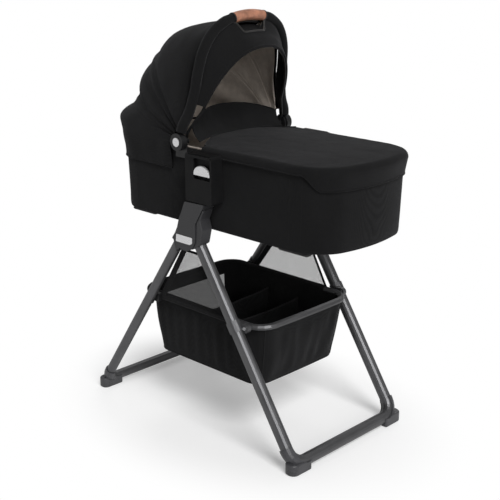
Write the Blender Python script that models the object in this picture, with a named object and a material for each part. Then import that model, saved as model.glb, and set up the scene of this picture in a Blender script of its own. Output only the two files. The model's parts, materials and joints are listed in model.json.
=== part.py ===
"""Bassinet on a folding A-frame stand, with a carry handle, a fold-back hood and a storage basket.

Units are metres and +Z is up. +X runs to the foot end of the cot and -Y to its near side.
Heights are measured from the floor, and x from the point where the lines of the legs would cross.
"""

import math

import bmesh
import bpy
from mathutils import Matrix, Vector

# Clearances
GAP = 0.0003            # between pieces that touch
RUNNING = 0.0008        # between pieces that turn or slide on each other
CLOTH_GAP = 0.0006      # between a cloth and what it lies beside

# Whole object
APEX_X = -0.0139        # where the legs' lines cross, from the middle of the object's box

# Widths that the stand and the cot share
COT_HALF_W = 0.2065     # half width of the cot at its foot
COT_FLARE_SIDE = 0.003  # what each side leans out up to the rim
HUB_CLEAR = 0.0033      # from the cot's rim to the hubs' inner faces
HUB_W = 0.0452
LEG_INSET = 0.0197      # legs' centre planes outside the hubs' inner faces
HUB_IN_Y = COT_HALF_W + COT_FLARE_SIDE + HUB_CLEAR
HUB_OUT_Y = HUB_IN_Y + HUB_W
LEG_Y = HUB_IN_Y + LEG_INSET

# Stand frame
APEX_Z = 0.665          # height where the lines of the legs cross
TUBE_Z = 0.0246         # height of the floor tubes' centre
HEAD_FOOT_X = -0.4338   # floor tube at the head end
FOOT_FOOT_X = 0.4166    # floor tube at the foot end
HEAD_TUBE_R = 0.0155
FOOT_TUBE_R = 0.0180
BEND_R = 0.046          # centre-line radius of the bends to the floor tubes
BOOT_WALL = 0.0045
BOOT_H = 0.0340            # rim of the boots' cups above the floor
BOOT_TAIL = 0.0560         # boots' reach along the floor tube, from the leg's plane
SPIGOT_R = 0.0150       # knuckle's spigot in the foot leg
SPIGOT_L = 0.026

# Folding hub
FOLD_X = 0.0
FOLD_Z = 0.628
COVER_T = 0.0065        # outer cheek
CHEEK_T = 0.0042        # inner cheek
EYE_R = 0.0215          # knuckle's eye round the pivot
PIVOT_R = 0.0070
HUB_ARC_R = 0.0470      # edge of both cheeks, round the pivot
SOCKET_WALL = 0.0032
COVER_STEP_Y = HUB_OUT_Y - 0.0068      # from here outward the cover stands clear of the leg's socket
HUB_TOP_Z = 0.7340
POST_X = 0.048          # locking post on the hub
POST_Y = HUB_OUT_Y - 0.0220
POST_W = 0.050
POST_T = 0.016
POST_H = 0.062
PLATE_T = 0.0016

# Cot
COT_HEAD_X = -0.367
COT_FOOT_X = 0.468
COT_Z = 0.645
COT_TOP_Z = 0.878
COT_CORNER_R = 0.088
COT_BOW = 0.012         # outward bow of each end
COT_FLARE_HEAD = 0.006
COT_FLARE_FOOT = 0.009
COT_WALL = 0.0045
COT_EDGE_R = 0.012      # rounding at the foot of the wall
RIM_TUBE_R = 0.0075
RIM_DROP = 0.011
LINING_T = 0.0025
BOARD_T = 0.009
MATTRESS_H = 0.036
MATTRESS_CROWN = 0.010
PAD_H = 0.009           # feet under the cot
PAD_W = 0.026

# Foot cover
APRON_T = 0.0030
APRON_CROWN = 0.005
APRON_EDGE_R = 0.011
APRON_HEM_SIDE_Z = 0.868
APRON_HEM_END_Z = 0.822
APRON_WRAP_X = 0.405
APRON_RISE = 0.0115      # top of the foot cover above the cot's rim
FLAP_H = 0.075
FLAP_T = 0.0028

# Adapters on the cot
ADAPTER_X = 0.0620
ADAPTER_W = 0.108
ADAPTER_SEAT = 0.0015    # from the hub's top to the housing's lower face
ADAPTER_TOP_Z = 0.8780
ADAPTER_OUT_Y = HUB_OUT_Y - 0.0020
RECESS_X = 0.0765
RECESS_W = 0.0660
RECESS_Z = 0.806
RECESS_TOP_Z = 0.866
RECESS_D = 0.010
BUTTON_W = 0.0645
BUTTON_Z = 0.8170
BUTTON_H = 0.030
BUTTON_D = 0.008
BUTTON_TRAVEL = 0.004

# Handle and hood
HINGE_X = -0.050
HINGE_Z = 0.894
HINGE_PIN_R = 0.0050
HANDLE_LEAN = 10.0      # degrees forward of upright
HANDLE_R = 0.357        # hinge to crown
HANDLE_TUBE_R = 0.0135
GRIP_HALF = 0.067
GRIP_WALL = 0.0028
HUB_DISC_R = 0.026
HUB_DISC_IN = COT_HALF_W + 0.0100
HUB_DISC_OUT = HUB_DISC_IN + 0.0200
CAP_R = 0.0135
CAP_T = 0.0030
HANDLE_PROFILE = (      # distance from the hinge and half width, from the side up to the crown
    (0.085, COT_HALF_W - 0.0095), (0.140, COT_HALF_W - 0.0225), (0.200, COT_HALF_W - 0.0275),
    (0.260, COT_HALF_W - 0.0385), (0.310, 0.140), (0.340, 0.098), (0.352, 0.055), (0.357, 0.0),
)
VISOR_LEAN = 25.2
VISOR_R = 0.2935
VISOR_HALF_W = COT_HALF_W - 0.0320
VISOR_POWER = 2.25         # fullness of the visor's arch: 2 is an ellipse
GRIP_GAP_X = 0.047      # front edge of the hand-hold cut in the visor's cloth
GRIP_GAP_HALF = 0.064
BOW_LEANS = (-46.0, -74.0)
BOW_RS = (0.3310, 0.3340)
BOW_HALF_W = COT_HALF_W - 0.0085
BOW_POWER = 2.7
BOW_W = 0.0080
BOW_T = 0.0030
EYELET_R = 0.0085
EYELET_Y = COT_HALF_W - 0.0055
HOOD_T = 0.0032
HOOD_HALF_W = COT_HALF_W + 0.0015
HOOD_CROWN_RS = (0.330, 0.330, 0.341)   # radius at the handle, a third of the way back, and two thirds
HOOD_POWER = 2.75
HOOD_PUFF = 0.004          # bulge of the cloth between two bows
REAR_LEAN = -91.0
REAR_R = 0.372
SKIRT_Z = 0.808

# Basket
RING_Z = 0.384
RING_HEAD_X = -0.261
RING_FOOT_X = 0.256
RING_TUBE_R = 0.0100
RING_CLEAR = 0.0060      # from the ring to the foot legs
RING_HALF_W = LEG_Y - FOOT_TUBE_R - RING_TUBE_R - RING_CLEAR
RING_CORNER_R = 0.055
BAG_Z = 0.186
BAG_HEAD_X = -0.205
BAG_FOOT_X = 0.223
BAG_HALF_W = RING_HALF_W - 0.0205      # at the bottom
BAG_WALL = 0.0030
DIVIDER_XS = (-0.072, 0.062)
DIVIDER_TOP_Z = 0.336
DIVIDER_T = 0.0030
LUG_R = 0.0140
RIVET_R = 0.0036
RIVET_HEAD_R = 0.0052
CLASP_WALL = 0.0030
RIVET_X = 0.1925 + FOOT_TUBE_R + CLASP_WALL
BRACKET_HALF = 0.0170

SIDES = (("near", -1.0), ("far", 1.0))


def leg_angle(foot_x):
    """Angle of a leg from upright, in the plane of its side."""
    return math.atan2(abs(foot_x), APEX_Z - TUBE_Z)


HEAD_ANGLE = leg_angle(HEAD_FOOT_X)
FOOT_ANGLE = leg_angle(FOOT_FOOT_X)
HEAD_DIR = Vector((-math.sin(HEAD_ANGLE), 0.0, -math.cos(HEAD_ANGLE)))
FOOT_DIR = Vector((math.sin(FOOT_ANGLE), 0.0, -math.cos(FOOT_ANGLE)))
APEX = Vector((0.0, 0.0, APEX_Z))
FOLD = Vector((FOLD_X, 0.0, FOLD_Z))
HINGE = Vector((HINGE_X, 0.0, HINGE_Z))

BODIES = {}


def clear_scene():
    for item in list(bpy.data.objects):
        bpy.data.objects.remove(item, do_unlink=True)


def make_body(name, point, parent=None):
    """An empty on a joint's axis, which carries the pieces of one moving body."""
    empty = bpy.data.objects.new("pivot_" + name, None)
    bpy.context.scene.collection.objects.link(empty)
    empty.empty_display_size = 0.04
    if parent:
        empty.parent = BODIES[parent][0]
        empty.location = point - BODIES[parent][1]
    else:
        empty.location = point + Vector((APEX_X, 0.0, 0.0))
    BODIES[name] = (empty, point)


def material(name, colour, roughness, metallic=0.0):
    made = bpy.data.materials.get(name)
    if made:
        return made
    made = bpy.data.materials.new(name)
    made.use_nodes = True
    shader = made.node_tree.nodes["Principled BSDF"]
    shader.inputs["Base Color"].default_value = (*colour, 1.0)
    shader.inputs["Roughness"].default_value = roughness
    shader.inputs["Metallic"].default_value = metallic
    made.diffuse_color = (*colour, 1.0)
    return made


def anthracite():
    return material("anthracite_paint", (0.055, 0.056, 0.060), 0.38, 0.6)


def hub_plastic():
    return material("dark_grey_plastic", (0.050, 0.051, 0.054), 0.45)


def black_plastic():
    return material("black_plastic", (0.012, 0.012, 0.013), 0.42)


def silver():
    return material("satin_silver", (0.78, 0.78, 0.79), 0.28, 0.9)


def black_cloth():
    return material("black_cloth", (0.010, 0.010, 0.011), 0.95)


def taupe_cloth():
    return material("taupe_lining", (0.46, 0.38, 0.31), 0.95)


def leather():
    return material("tan_leather", (0.36, 0.15, 0.06), 0.55)


def add_object(name, mesh, body, surface, smooth=True):
    """Links a mesh as one named piece, placed by its body's pivot."""
    item = bpy.data.objects.new(name, mesh)
    bpy.context.scene.collection.objects.link(item)
    empty, point = BODIES[body]
    item.parent = empty
    item.location = -point
    mesh.materials.clear()
    mesh.materials.append(surface)
    if smooth:
        mesh.shade_smooth()
        mesh.set_sharp_from_angle(angle=math.radians(35.0))
    return item


def bake(mesh_builder):
    mesh = bpy.data.meshes.new("work")
    bmesh.ops.recalc_face_normals(mesh_builder, faces=mesh_builder.faces)
    mesh_builder.to_mesh(mesh)
    mesh_builder.free()
    return mesh


def loft(rings, close_ends=True, join_ends=False):
    """Bridges rings of equal count into one surface."""
    work = bmesh.new()
    rows = [[work.verts.new(point) for point in ring] for ring in rings]
    pairs = list(zip(rows, rows[1:]))
    if join_ends:
        pairs.append((rows[-1], rows[0]))
    for low, high in pairs:
        count = len(low)
        for index in range(count):
            after = (index + 1) % count
            work.faces.new((low[index], low[after], high[after], high[index]))
    if close_ends and not join_ends:
        work.faces.new(rows[0])
        work.faces.new(rows[-1])
    return bake(work)


def prism(outline, low, high, axis="y"):
    """Extrudes an outline in XZ along Y, or one in XY along Z."""
    def lift(point, level):
        if axis == "y":
            return Vector((point[0], level, point[1]))
        return Vector((point[0], point[1], level))
    return loft([[lift(point, low) for point in outline], [lift(point, high) for point in outline]])


def arc(centre, radius, start, end, steps):
    """Points of an arc in a plane, from start to end in degrees."""
    points = []
    for index in range(steps + 1):
        angle = math.radians(start + (end - start) * index / steps)
        points.append((centre[0] + radius * math.cos(angle), centre[1] + radius * math.sin(angle)))
    return points


def disc(centre, radius, steps=24):
    return arc(centre, radius, 0.0, 360.0, steps)[:-1]


def rounded(corners, steps=3):
    """Outline from (x, y, radius) corners, each rounded by an arc."""
    points = []
    count = len(corners)
    for index, (x, y, radius) in enumerate(corners):
        here = Vector((x, y))
        before = Vector(corners[index - 1][:2]) - here
        after = Vector(corners[(index + 1) % count][:2]) - here
        if radius <= 0.0:
            points.append((x, y))
            continue
        half = before.angle(after) / 2.0
        reach = min(radius / math.tan(half), before.length * 0.48, after.length * 0.48)
        radius = reach * math.tan(half)
        bisector = (before.normalized() + after.normalized()).normalized()
        centre = here + bisector * (radius / math.sin(half))
        first = here + before.normalized() * reach - centre
        last = here + after.normalized() * reach - centre
        sweep = first.angle_signed(last)
        for step in range(steps + 1):
            turned = first.copy()
            turned.rotate(Matrix.Rotation(-sweep * step / steps, 2))
            points.append(tuple(centre + turned))
    return points


def frame_along(points, closed):
    """Unit tangents, and cross directions carried along without twist."""
    count = len(points)
    tangents = []
    for index in range(count):
        if closed:
            ahead = points[(index + 1) % count]
            behind = points[index - 1]
        else:
            ahead = points[min(index + 1, count - 1)]
            behind = points[max(index - 1, 0)]
        tangents.append((ahead - behind).normalized())
    seed = Vector((0.0, 0.0, 1.0))
    if abs(tangents[0].dot(seed)) > 0.9:
        seed = Vector((0.0, 1.0, 0.0))
    side = tangents[0].cross(seed).normalized()
    sides = [side]
    for before, after in zip(tangents, tangents[1:]):
        turned = side.copy()
        turned.rotate(before.rotation_difference(after))
        side = (turned - after * turned.dot(after)).normalized()
        sides.append(side)
    return tangents, sides


def sweep(points, section, closed=False):
    """Carries a section, given in (side, up) offsets, along a path."""
    tangents, sides = frame_along(points, closed)
    rings = []
    for point, tangent, side in zip(points, tangents, sides):
        up = tangent.cross(side)
        rings.append([point + side * u + up * v for u, v in section])
    return loft(rings, join_ends=closed)


def round_tube(points, radius, sides=16, closed=False):
    return sweep(points, disc((0.0, 0.0), radius, sides), closed)


def cylinder_between(start, end, radius, sides=18):
    return round_tube([start, end], radius, sides)


def bore_between(start, end, radius, sides=18):
    """A cylinder whose flat sides all clear the given radius."""
    return cylinder_between(start, end, radius / math.cos(math.pi / sides), sides)


def cutter(name, mesh, body="stand"):
    item = add_object(name, mesh, body, black_plastic(), smooth=False)
    item.hide_render = True
    item.display_type = "WIRE"
    return item


def cut(item, tool, operation="DIFFERENCE"):
    change = item.modifiers.new(tool.name, "BOOLEAN")
    change.operation = operation
    change.solver = "EXACT"
    change.object = tool


def join_mesh(item, name, mesh, body):
    cut(item, cutter(name, mesh, body), "UNION")


def cut_mesh(item, name, mesh, body):
    cut(item, cutter(name, mesh, body), "DIFFERENCE")


def soften(item, width, segments=1, angle=50.0):
    """A small bevel on the sharp edges."""
    edge = item.modifiers.new("edges", "BEVEL")
    edge.width = width
    edge.segments = segments
    edge.limit_method = "ANGLE"
    edge.angle_limit = math.radians(angle)
    edge.use_clamp_overlap = True


def bend(corner, inward, outward, radius, steps=7):
    """Centre-line points of a right-angle bend between two unit directions."""
    centre = corner - inward * radius + outward * radius
    points = []
    for step in range(steps + 1):
        angle = math.radians(90.0) * step / steps
        points.append(centre - outward * radius * math.cos(angle) + inward * radius * math.sin(angle))
    return points


def u_path(direction, foot_x, start):
    """Centre line of a U-shaped tube: a leg, the floor tube, and the other leg."""
    near = Vector((foot_x, -LEG_Y, TUBE_Z))
    far = Vector((foot_x, LEG_Y, TUBE_Z))
    across = Vector((0.0, 1.0, 0.0))
    side = Vector((0.0, LEG_Y, 0.0))
    points = [APEX - side + direction * start]
    points += bend(near, direction, across, BEND_R)
    points += reversed(bend(far, direction, -across, BEND_R))
    points.append(APEX + side + direction * start)
    return points


def boot(name, body, direction, foot_x, radius, sign):
    """A moulded foot: a cup with upright walls round the bend, running up into a sleeve on the leg."""
    corner = Vector((foot_x, sign * LEG_Y, TUBE_Z))
    across = Vector((0.0, -sign, 0.0))
    bend_points = bend(corner, direction, across, BEND_R, 7)
    lead = corner - direction * (BEND_R + 0.006)
    tail = corner + across * (BOOT_TAIL - 0.004)
    reach = radius + BOOT_WALL
    plan = rounded((
        (foot_x - reach, sign * (LEG_Y - BOOT_TAIL), 0.006),
        (foot_x + reach, sign * (LEG_Y - BOOT_TAIL), 0.006),
        (foot_x + reach, sign * (LEG_Y + reach), reach * 0.90),
        (foot_x - reach, sign * (LEG_Y + reach), reach * 0.90),
    ), 5)
    if sign < 0.0:
        plan.reverse()
    item = add_object(name, prism(plan, 0.0, BOOT_H, "z"), body, black_plastic())
    soften(item, 0.0030)
    shell = round_tube([lead] + bend_points + [tail], reach - 0.0006, 16)
    join_mesh(item, name + "_sleeve", shell, body)
    bore = [lead - direction * 0.03] + bend_points + [tail + across * 0.03]
    cut_mesh(item, name + "_bore", round_tube(bore, (radius + GAP) / math.cos(math.pi / 16.0), 16), body)
    trim = Vector((foot_x, sign * (LEG_Y - BEND_R), TUBE_Z + BEND_R))
    inner = [trim - Vector((0.08, 0.0, 0.0)), trim + Vector((0.08, 0.0, 0.0))]
    cut_mesh(item, name + "_mouth", round_tube(inner, BEND_R - radius * 0.15, 18), body)
    below = prism([(-1.0, -1.0), (1.0, -1.0), (1.0, 1.0), (-1.0, 1.0)], -0.10, 0.0, "z")
    cut_mesh(item, name + "_floor", below, body)
    return item


def frames():
    head = round_tube(u_path(HEAD_DIR, HEAD_FOOT_X, head_tube_start()), HEAD_TUBE_R, 16)
    add_object("head_leg_frame", head, "stand", anthracite())
    start = foot_tube_start()
    foot = round_tube(u_path(FOOT_DIR, FOOT_FOOT_X, start), FOOT_TUBE_R, 16)
    item = add_object("foot_leg_frame", foot, "foot_frame", anthracite())
    for side, sign in SIDES:
        centre = Vector((0.0, sign * LEG_Y, 0.0))
        bore = bore_between(
            APEX + centre + FOOT_DIR * (start - 0.01),
            APEX + centre + FOOT_DIR * (start + SPIGOT_L + 0.002),
            SPIGOT_R + GAP,
        )
        cut_mesh(item, "foot_leg_bore_" + side, bore, "foot_frame")
    for side, sign in SIDES:
        boot("head_boot_" + side, "stand", HEAD_DIR, HEAD_FOOT_X, HEAD_TUBE_R, sign)
        boot("foot_boot_" + side, "foot_frame", FOOT_DIR, FOOT_FOOT_X, FOOT_TUBE_R, sign)


def tube_start(direction, tube_r, keep_off):
    """Distance down a leg's line at which its tube begins, clear of a circle round the pivot."""
    along = (FOLD - APEX).dot(direction)
    off = (FOLD - APEX - direction * along).length - tube_r
    return along + math.sqrt(keep_off ** 2 - off ** 2)


def head_tube_start():
    return tube_start(HEAD_DIR, HEAD_TUBE_R, EYE_R + 2.0 * RUNNING)


def foot_tube_start():
    return tube_start(FOOT_DIR, FOOT_TUBE_R, HUB_ARC_R + 2.0 * RUNNING)


def cheek_outline():
    """Outline of the hub's outer cheek in XZ, its foot-side edge running round the pivot."""
    side = Vector((-HEAD_DIR.z, 0.0, HEAD_DIR.x))
    inner = APEX + side * (HEAD_TUBE_R + SOCKET_WALL) * -1.0
    outer = APEX + side * (HEAD_TUBE_R + SOCKET_WALL)
    if inner.x > outer.x:
        inner, outer = outer, inner
    low_out = inner + HEAD_DIR * 0.098
    low_in = outer + HEAD_DIR * 0.104
    up_out = inner + HEAD_DIR * 0.060
    points = [
        (low_out.x, low_out.z, 0.004),
        (up_out.x + 0.002, up_out.z, 0.016),
        (-0.010, 0.6975, 0.010),
        (0.004, HUB_TOP_Z - 0.003, 0.005),
        (0.086, HUB_TOP_Z, 0.004),
        (0.050, 0.674, 0.016),
        (FOLD_X + HUB_ARC_R, FOLD_Z, 0.0),
    ]
    outline = rounded(points[:-1])
    outline += arc((FOLD_X, FOLD_Z), HUB_ARC_R, 0.0, -115.0, 10)
    outline.append((low_in.x, low_in.z))
    return outline


def beside_cover():
    """Space beside the cover's head-side edge, where only the leg's socket stands behind it."""
    return [(-0.0360, 0.540), (-0.0360, 0.6016), (-0.0330, 0.6366), (-0.0205, 0.6786), (-0.0100, 0.6975),
            (-0.0600, 0.6975), (-0.1200, 0.540)]


def knuckle_outline(swell, top):
    """Outline of the foot leg's knuckle: its eye, its arm up to a top edge, and the collar on the leg."""
    side = Vector((-FOOT_DIR.z, 0.0, FOOT_DIR.x))
    if side.x < 0.0:
        side.negate()
    start = foot_tube_start() - GAP
    tip = APEX + FOOT_DIR * start
    right = tip + side * (FOOT_TUBE_R + swell)
    left = tip - side * (FOOT_TUBE_R + swell * 0.2)
    eye = arc((FOLD_X, FOLD_Z), EYE_R, 60.0, 285.0, 10)
    outline = [
        (left.x, left.z),
        (right.x, right.z),
        (0.060 + swell, 0.622),
        (0.068 + swell, 0.655),
        (0.062 + swell * 0.5, 0.684),
    ]
    return outline + top + eye


def hubs():
    for side, sign in SIDES:
        centre = Vector((0.0, sign * LEG_Y, 0.0))
        out_y = sign * HUB_OUT_Y
        in_y = sign * HUB_IN_Y
        low, high = sorted((out_y, in_y))
        hub = add_object("head_hub_" + side, prism(cheek_outline(), low, high), "stand", hub_plastic())
        step_low, step_high = sorted((sign * COVER_STEP_Y, sign * (HUB_OUT_Y + 0.01)))
        cut_mesh(hub, "hub_step_" + side, prism(beside_cover(), step_low, step_high), "stand")
        soften(hub, 0.0016)
        slot_out = sign * (HUB_OUT_Y - COVER_T)
        slot_in = sign * (HUB_IN_Y + CHEEK_T)
        slot_low, slot_high = sorted((slot_out, slot_in))
        cut_mesh(hub, "hub_slot_" + side, prism(swept_slot(), slot_low, slot_high), "stand")
        axis_out = Vector((FOLD_X, sign * (HUB_OUT_Y - COVER_T - 0.001), FOLD_Z))
        axis_in = Vector((FOLD_X, sign * (HUB_IN_Y + 0.001), FOLD_Z))
        join_mesh(hub, "hub_pin_" + side, cylinder_between(
            axis_out + Vector((0.0, sign * 0.004, 0.0)), axis_in, PIVOT_R), "stand")
        leg_bore = bore_between(
            APEX + centre + HEAD_DIR * (head_tube_start() - 2.0 * RUNNING), APEX + centre + HEAD_DIR * 0.2,
            HEAD_TUBE_R + GAP)
        cut_mesh(hub, "hub_bore_" + side, leg_bore, "stand")
        half = POST_W / 2.0
        post = rounded((
            (POST_X - half, HUB_TOP_Z - 0.012, 0.0),
            (POST_X + half, HUB_TOP_Z - 0.012, 0.0),
            (POST_X + half * 0.86, HUB_TOP_Z + POST_H, 0.010),
            (POST_X - half * 0.86, HUB_TOP_Z + POST_H, 0.010),
        ))
        post_low, post_high = sorted((sign * (POST_Y - POST_T / 2.0), sign * (POST_Y + POST_T / 2.0)))
        join_mesh(hub, "hub_post_" + side, prism(post, post_low, post_high), "stand")

        mid_low, mid_high = sorted((slot_out - sign * RUNNING, slot_in + sign * RUNNING))
        middle = knuckle_outline(0.0, [(0.046, 0.706), (0.030, 0.700)])
        knuckle = add_object(
            "foot_knuckle_" + side, prism(middle, mid_low, mid_high), "foot_frame", hub_plastic())
        wide_low, wide_high = sorted((sign * (HUB_OUT_Y - 0.0030), sign * (HUB_IN_Y + 0.0008)))
        wide = knuckle_outline(0.006, [(0.078, 0.712), (0.074, 0.7235), (0.030, 0.712)])
        shell = cutter("knuckle_shell_" + side, prism(wide, wide_low, wide_high), "foot_frame")
        soften(shell, 0.0020)
        keep_off = cheek_clearance()
        off_low, off_high = -HUB_OUT_Y - 0.04, HUB_OUT_Y + 0.04
        cut(shell, cutter("knuckle_clear_" + side, prism(keep_off, off_low, off_high), "foot_frame"))
        cut(knuckle, shell, "UNION")
        bore = bore_between(
            Vector((FOLD_X, sign * (HUB_IN_Y - 0.03), FOLD_Z)),
            Vector((FOLD_X, sign * (HUB_OUT_Y + 0.03), FOLD_Z)), PIVOT_R + RUNNING)
        cut_mesh(knuckle, "knuckle_bore_" + side, bore, "foot_frame")
        start = foot_tube_start()
        spigot = cylinder_between(
            APEX + centre + FOOT_DIR * (start - 0.008),
            APEX + centre + FOOT_DIR * (start + SPIGOT_L), SPIGOT_R)
        join_mesh(knuckle, "knuckle_spigot_" + side, spigot, "foot_frame")

        plate_low, plate_high = sorted((sign * (HUB_OUT_Y + GAP), sign * (HUB_OUT_Y + PLATE_T)))
        plate = rounded((
            (-0.0345, 0.6040, 0.003),
            (0.0250, 0.6040, 0.006),
            (0.0355, 0.6100, 0.004),
            (0.0355, 0.6270, 0.003),
            (-0.0320, 0.6270, 0.003),
        ))
        add_object("hub_plate_" + side, prism(plate, plate_low, plate_high), "stand", silver())


def cheek_clearance():
    """The cheek's outline grown by the running gap, in which the knuckle's wide part may not lie."""
    reach = HUB_ARC_R + RUNNING
    outline = arc((FOLD_X, FOLD_Z), reach, -100.0, 0.0, 9)
    outline += [
        (0.0508 + RUNNING, 0.674),
        (0.0870 + RUNNING, HUB_TOP_Z),
        (0.0870, HUB_TOP_Z + 0.03),
        (-0.12, HUB_TOP_Z + 0.03),
        (-0.12, 0.56),
    ]
    return outline


def swept_slot():
    """Space that the knuckle's middle part passes through as the leg folds."""
    outline = arc((FOLD_X, FOLD_Z), EYE_R + RUNNING * 1.5, 75.0, 215.0, 8)
    side = Vector((-HEAD_DIR.z, 0.0, HEAD_DIR.x))
    if side.x < 0.0:
        side.negate()
    wall = APEX + side * (HEAD_TUBE_R + SOCKET_WALL)
    at_eye = wall + HEAD_DIR * 0.062
    below = wall + HEAD_DIR * 0.180
    outline.append((at_eye.x, at_eye.z))
    outline.append((below.x, below.z))
    outline += [(0.20, 0.52), (0.20, 0.712), (0.028, 0.712), (0.022, 0.690)]
    return outline


def plan_ring(head_x, foot_x, half_w, corner_r, z, bow=COT_BOW, steps=5, side_steps=4):
    """Rounded rectangle seen from above, with its ends bowed outward."""
    corner_r = min(corner_r, half_w * 0.98)
    corners = (
        (foot_x - corner_r, half_w - corner_r, 0.0),
        (head_x + corner_r, half_w - corner_r, 90.0),
        (head_x + corner_r, corner_r - half_w, 180.0),
        (foot_x - corner_r, corner_r - half_w, 270.0),
    )
    points = []
    for number, (x, y, start) in enumerate(corners):
        points += arc((x, y), corner_r, start, start + 90.0, steps)
        after = corners[(number + 1) % 4]
        ahead = arc(after[:2], corner_r, after[2], after[2] + 90.0, steps)[0]
        last = points[-1]
        for step in range(1, side_steps):
            t = step / side_steps
            points.append((last[0] + (ahead[0] - last[0]) * t, last[1] + (ahead[1] - last[1]) * t))
    middle = (head_x + foot_x) / 2.0
    ring = []
    for x, y in points:
        reach = abs(x - middle) / ((foot_x - head_x) / 2.0)
        push = bow * (1.0 - (y / half_w) ** 2) * max(0.0, reach - 0.55) / 0.45
        ring.append(Vector((x + math.copysign(push, x - middle), y, z)))
    return ring


def cot_ring(z, inset=0.0, z_at=None):
    """The cot's outline at height z, drawn in by an inset."""
    t = (z - COT_Z) / (COT_TOP_Z - COT_Z)
    head = COT_HEAD_X - COT_FLARE_HEAD * t + inset + COT_BOW
    foot = COT_FOOT_X + COT_FLARE_FOOT * t - inset - COT_BOW
    half = COT_HALF_W + COT_FLARE_SIDE * t - inset
    corner = max(COT_CORNER_R - inset, half * 0.42)
    return plan_ring(head, foot, half, corner, z if z_at is None else z_at)


def tub(outside, inside):
    """A cup: rings up the outside, then down the inside, closed at both floors."""
    return loft(outside + inside)


def cot_shell():
    outside = []
    for step in range(4):
        angle = math.radians(90.0 * step / 3.0)
        inset = COT_EDGE_R * (1.0 - math.sin(angle))
        lift = COT_EDGE_R * (1.0 - math.cos(angle))
        outside.append(cot_ring(COT_Z + lift, inset))
    for z in (0.72, 0.80, COT_TOP_Z):
        outside.append(cot_ring(z))
    inside = [cot_ring(COT_TOP_Z, COT_WALL), cot_ring(0.76, COT_WALL)]
    inside.append(cot_ring(COT_Z + COT_EDGE_R, COT_WALL))
    inside.append(cot_ring(COT_Z + COT_WALL, COT_WALL + COT_EDGE_R * 0.6))
    add_object("cot_shell", tub(outside, inside), "cot", black_cloth())


def rim_inset():
    return COT_WALL + GAP + RIM_TUBE_R


def cot_rim():
    path = cot_ring(COT_TOP_Z - RIM_DROP, rim_inset())
    add_object("cot_rim", round_tube(path, RIM_TUBE_R, 8, closed=True), "cot", anthracite())


def lining_inset():
    return rim_inset() + RIM_TUBE_R + GAP


def cot_lining():
    floor_z = COT_Z + COT_WALL + GAP + BOARD_T + GAP
    inset = lining_inset()
    top = COT_TOP_Z - 0.004
    outside = [
        cot_ring(floor_z, inset + 0.006),
        cot_ring(floor_z + 0.006, inset),
        cot_ring(0.76, inset),
        cot_ring(top, inset),
    ]
    inside = [
        cot_ring(top, inset + LINING_T),
        cot_ring(0.76, inset + LINING_T),
        cot_ring(floor_z + 0.006 + LINING_T, inset + LINING_T),
        cot_ring(floor_z + LINING_T, inset + LINING_T + 0.005),
    ]
    add_object("cot_lining", tub(outside, inside), "cot", taupe_cloth())


def base_board():
    low = COT_Z + COT_WALL + GAP
    inset = COT_WALL + COT_EDGE_R + 0.002
    rings = [cot_ring(low, inset + 0.001), cot_ring(low + BOARD_T, inset)]
    item = add_object("base_board", loft(rings), "cot", black_plastic(), smooth=False)
    for index in range(3):
        x = -0.20 + 0.24 * index
        slot = prism(rounded((
            (x - 0.035, -0.012, 0.010), (x + 0.035, -0.012, 0.010),
            (x + 0.035, 0.012, 0.010), (x - 0.035, 0.012, 0.010))), low - 0.01, low + BOARD_T + 0.01, "z")
        cut_mesh(item, "board_vent_%d" % index, slot, "cot")


def mattress():
    low = COT_Z + COT_WALL + GAP + BOARD_T + GAP + LINING_T + CLOTH_GAP
    inset = lining_inset() + LINING_T + 0.004
    rings = [
        cot_ring(low, inset + 0.010),
        cot_ring(low + MATTRESS_H * 0.22, inset + 0.002),
        cot_ring(low + MATTRESS_H * 0.50, inset + 0.003),
        cot_ring(low + MATTRESS_H * 0.80, inset + 0.002),
        cot_ring(low + MATTRESS_H, inset + 0.010),
    ]
    for share in (0.35, 0.70, 0.95):
        crown = MATTRESS_CROWN * (1.0 - (1.0 - share) ** 2)
        spread = inset + 0.010 + share * (COT_HALF_W - inset - 0.012)
        ring = cot_ring(low + MATTRESS_H, min(spread, COT_CORNER_R * 1.9))
        rings.append([Vector((p.x, p.y, low + MATTRESS_H + crown)) for p in ring])
    add_object("mattress", loft(rings), "cot", taupe_cloth())


def cot_feet():
    for number, (x, side, sign) in enumerate(((x, s, g) for x in (-0.262, 0.360) for s, g in SIDES)):
        end = "head" if x < 0.0 else "foot"
        y = sign * (COT_HALF_W - COT_EDGE_R - PAD_W / 2.0 - 0.006)
        pad = rounded((
            (x - 0.055, y - PAD_W / 2.0, 0.009), (x + 0.055, y - PAD_W / 2.0, 0.009),
            (x + 0.055, y + PAD_W / 2.0, 0.009), (x - 0.055, y + PAD_W / 2.0, 0.009)))
        item = add_object(
            "cot_foot_%s_%s" % (end, side), prism(pad, COT_Z - PAD_H, COT_Z - GAP, "z"), "cot",
            black_plastic())
        soften(item, 0.0025)


def apron_ring(inset, z):
    return cot_ring(COT_TOP_Z, inset, z)


def apron_hem_z(point):
    """Hem height: short along the sides, deeper where the cover wraps the foot end."""
    t = min(1.0, max(0.0, (point.x - APRON_WRAP_X) / 0.045))
    t = t * t * (3.0 - 2.0 * t)
    return APRON_HEM_SIDE_Z + (APRON_HEM_END_Z - APRON_HEM_SIDE_Z) * t


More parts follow.
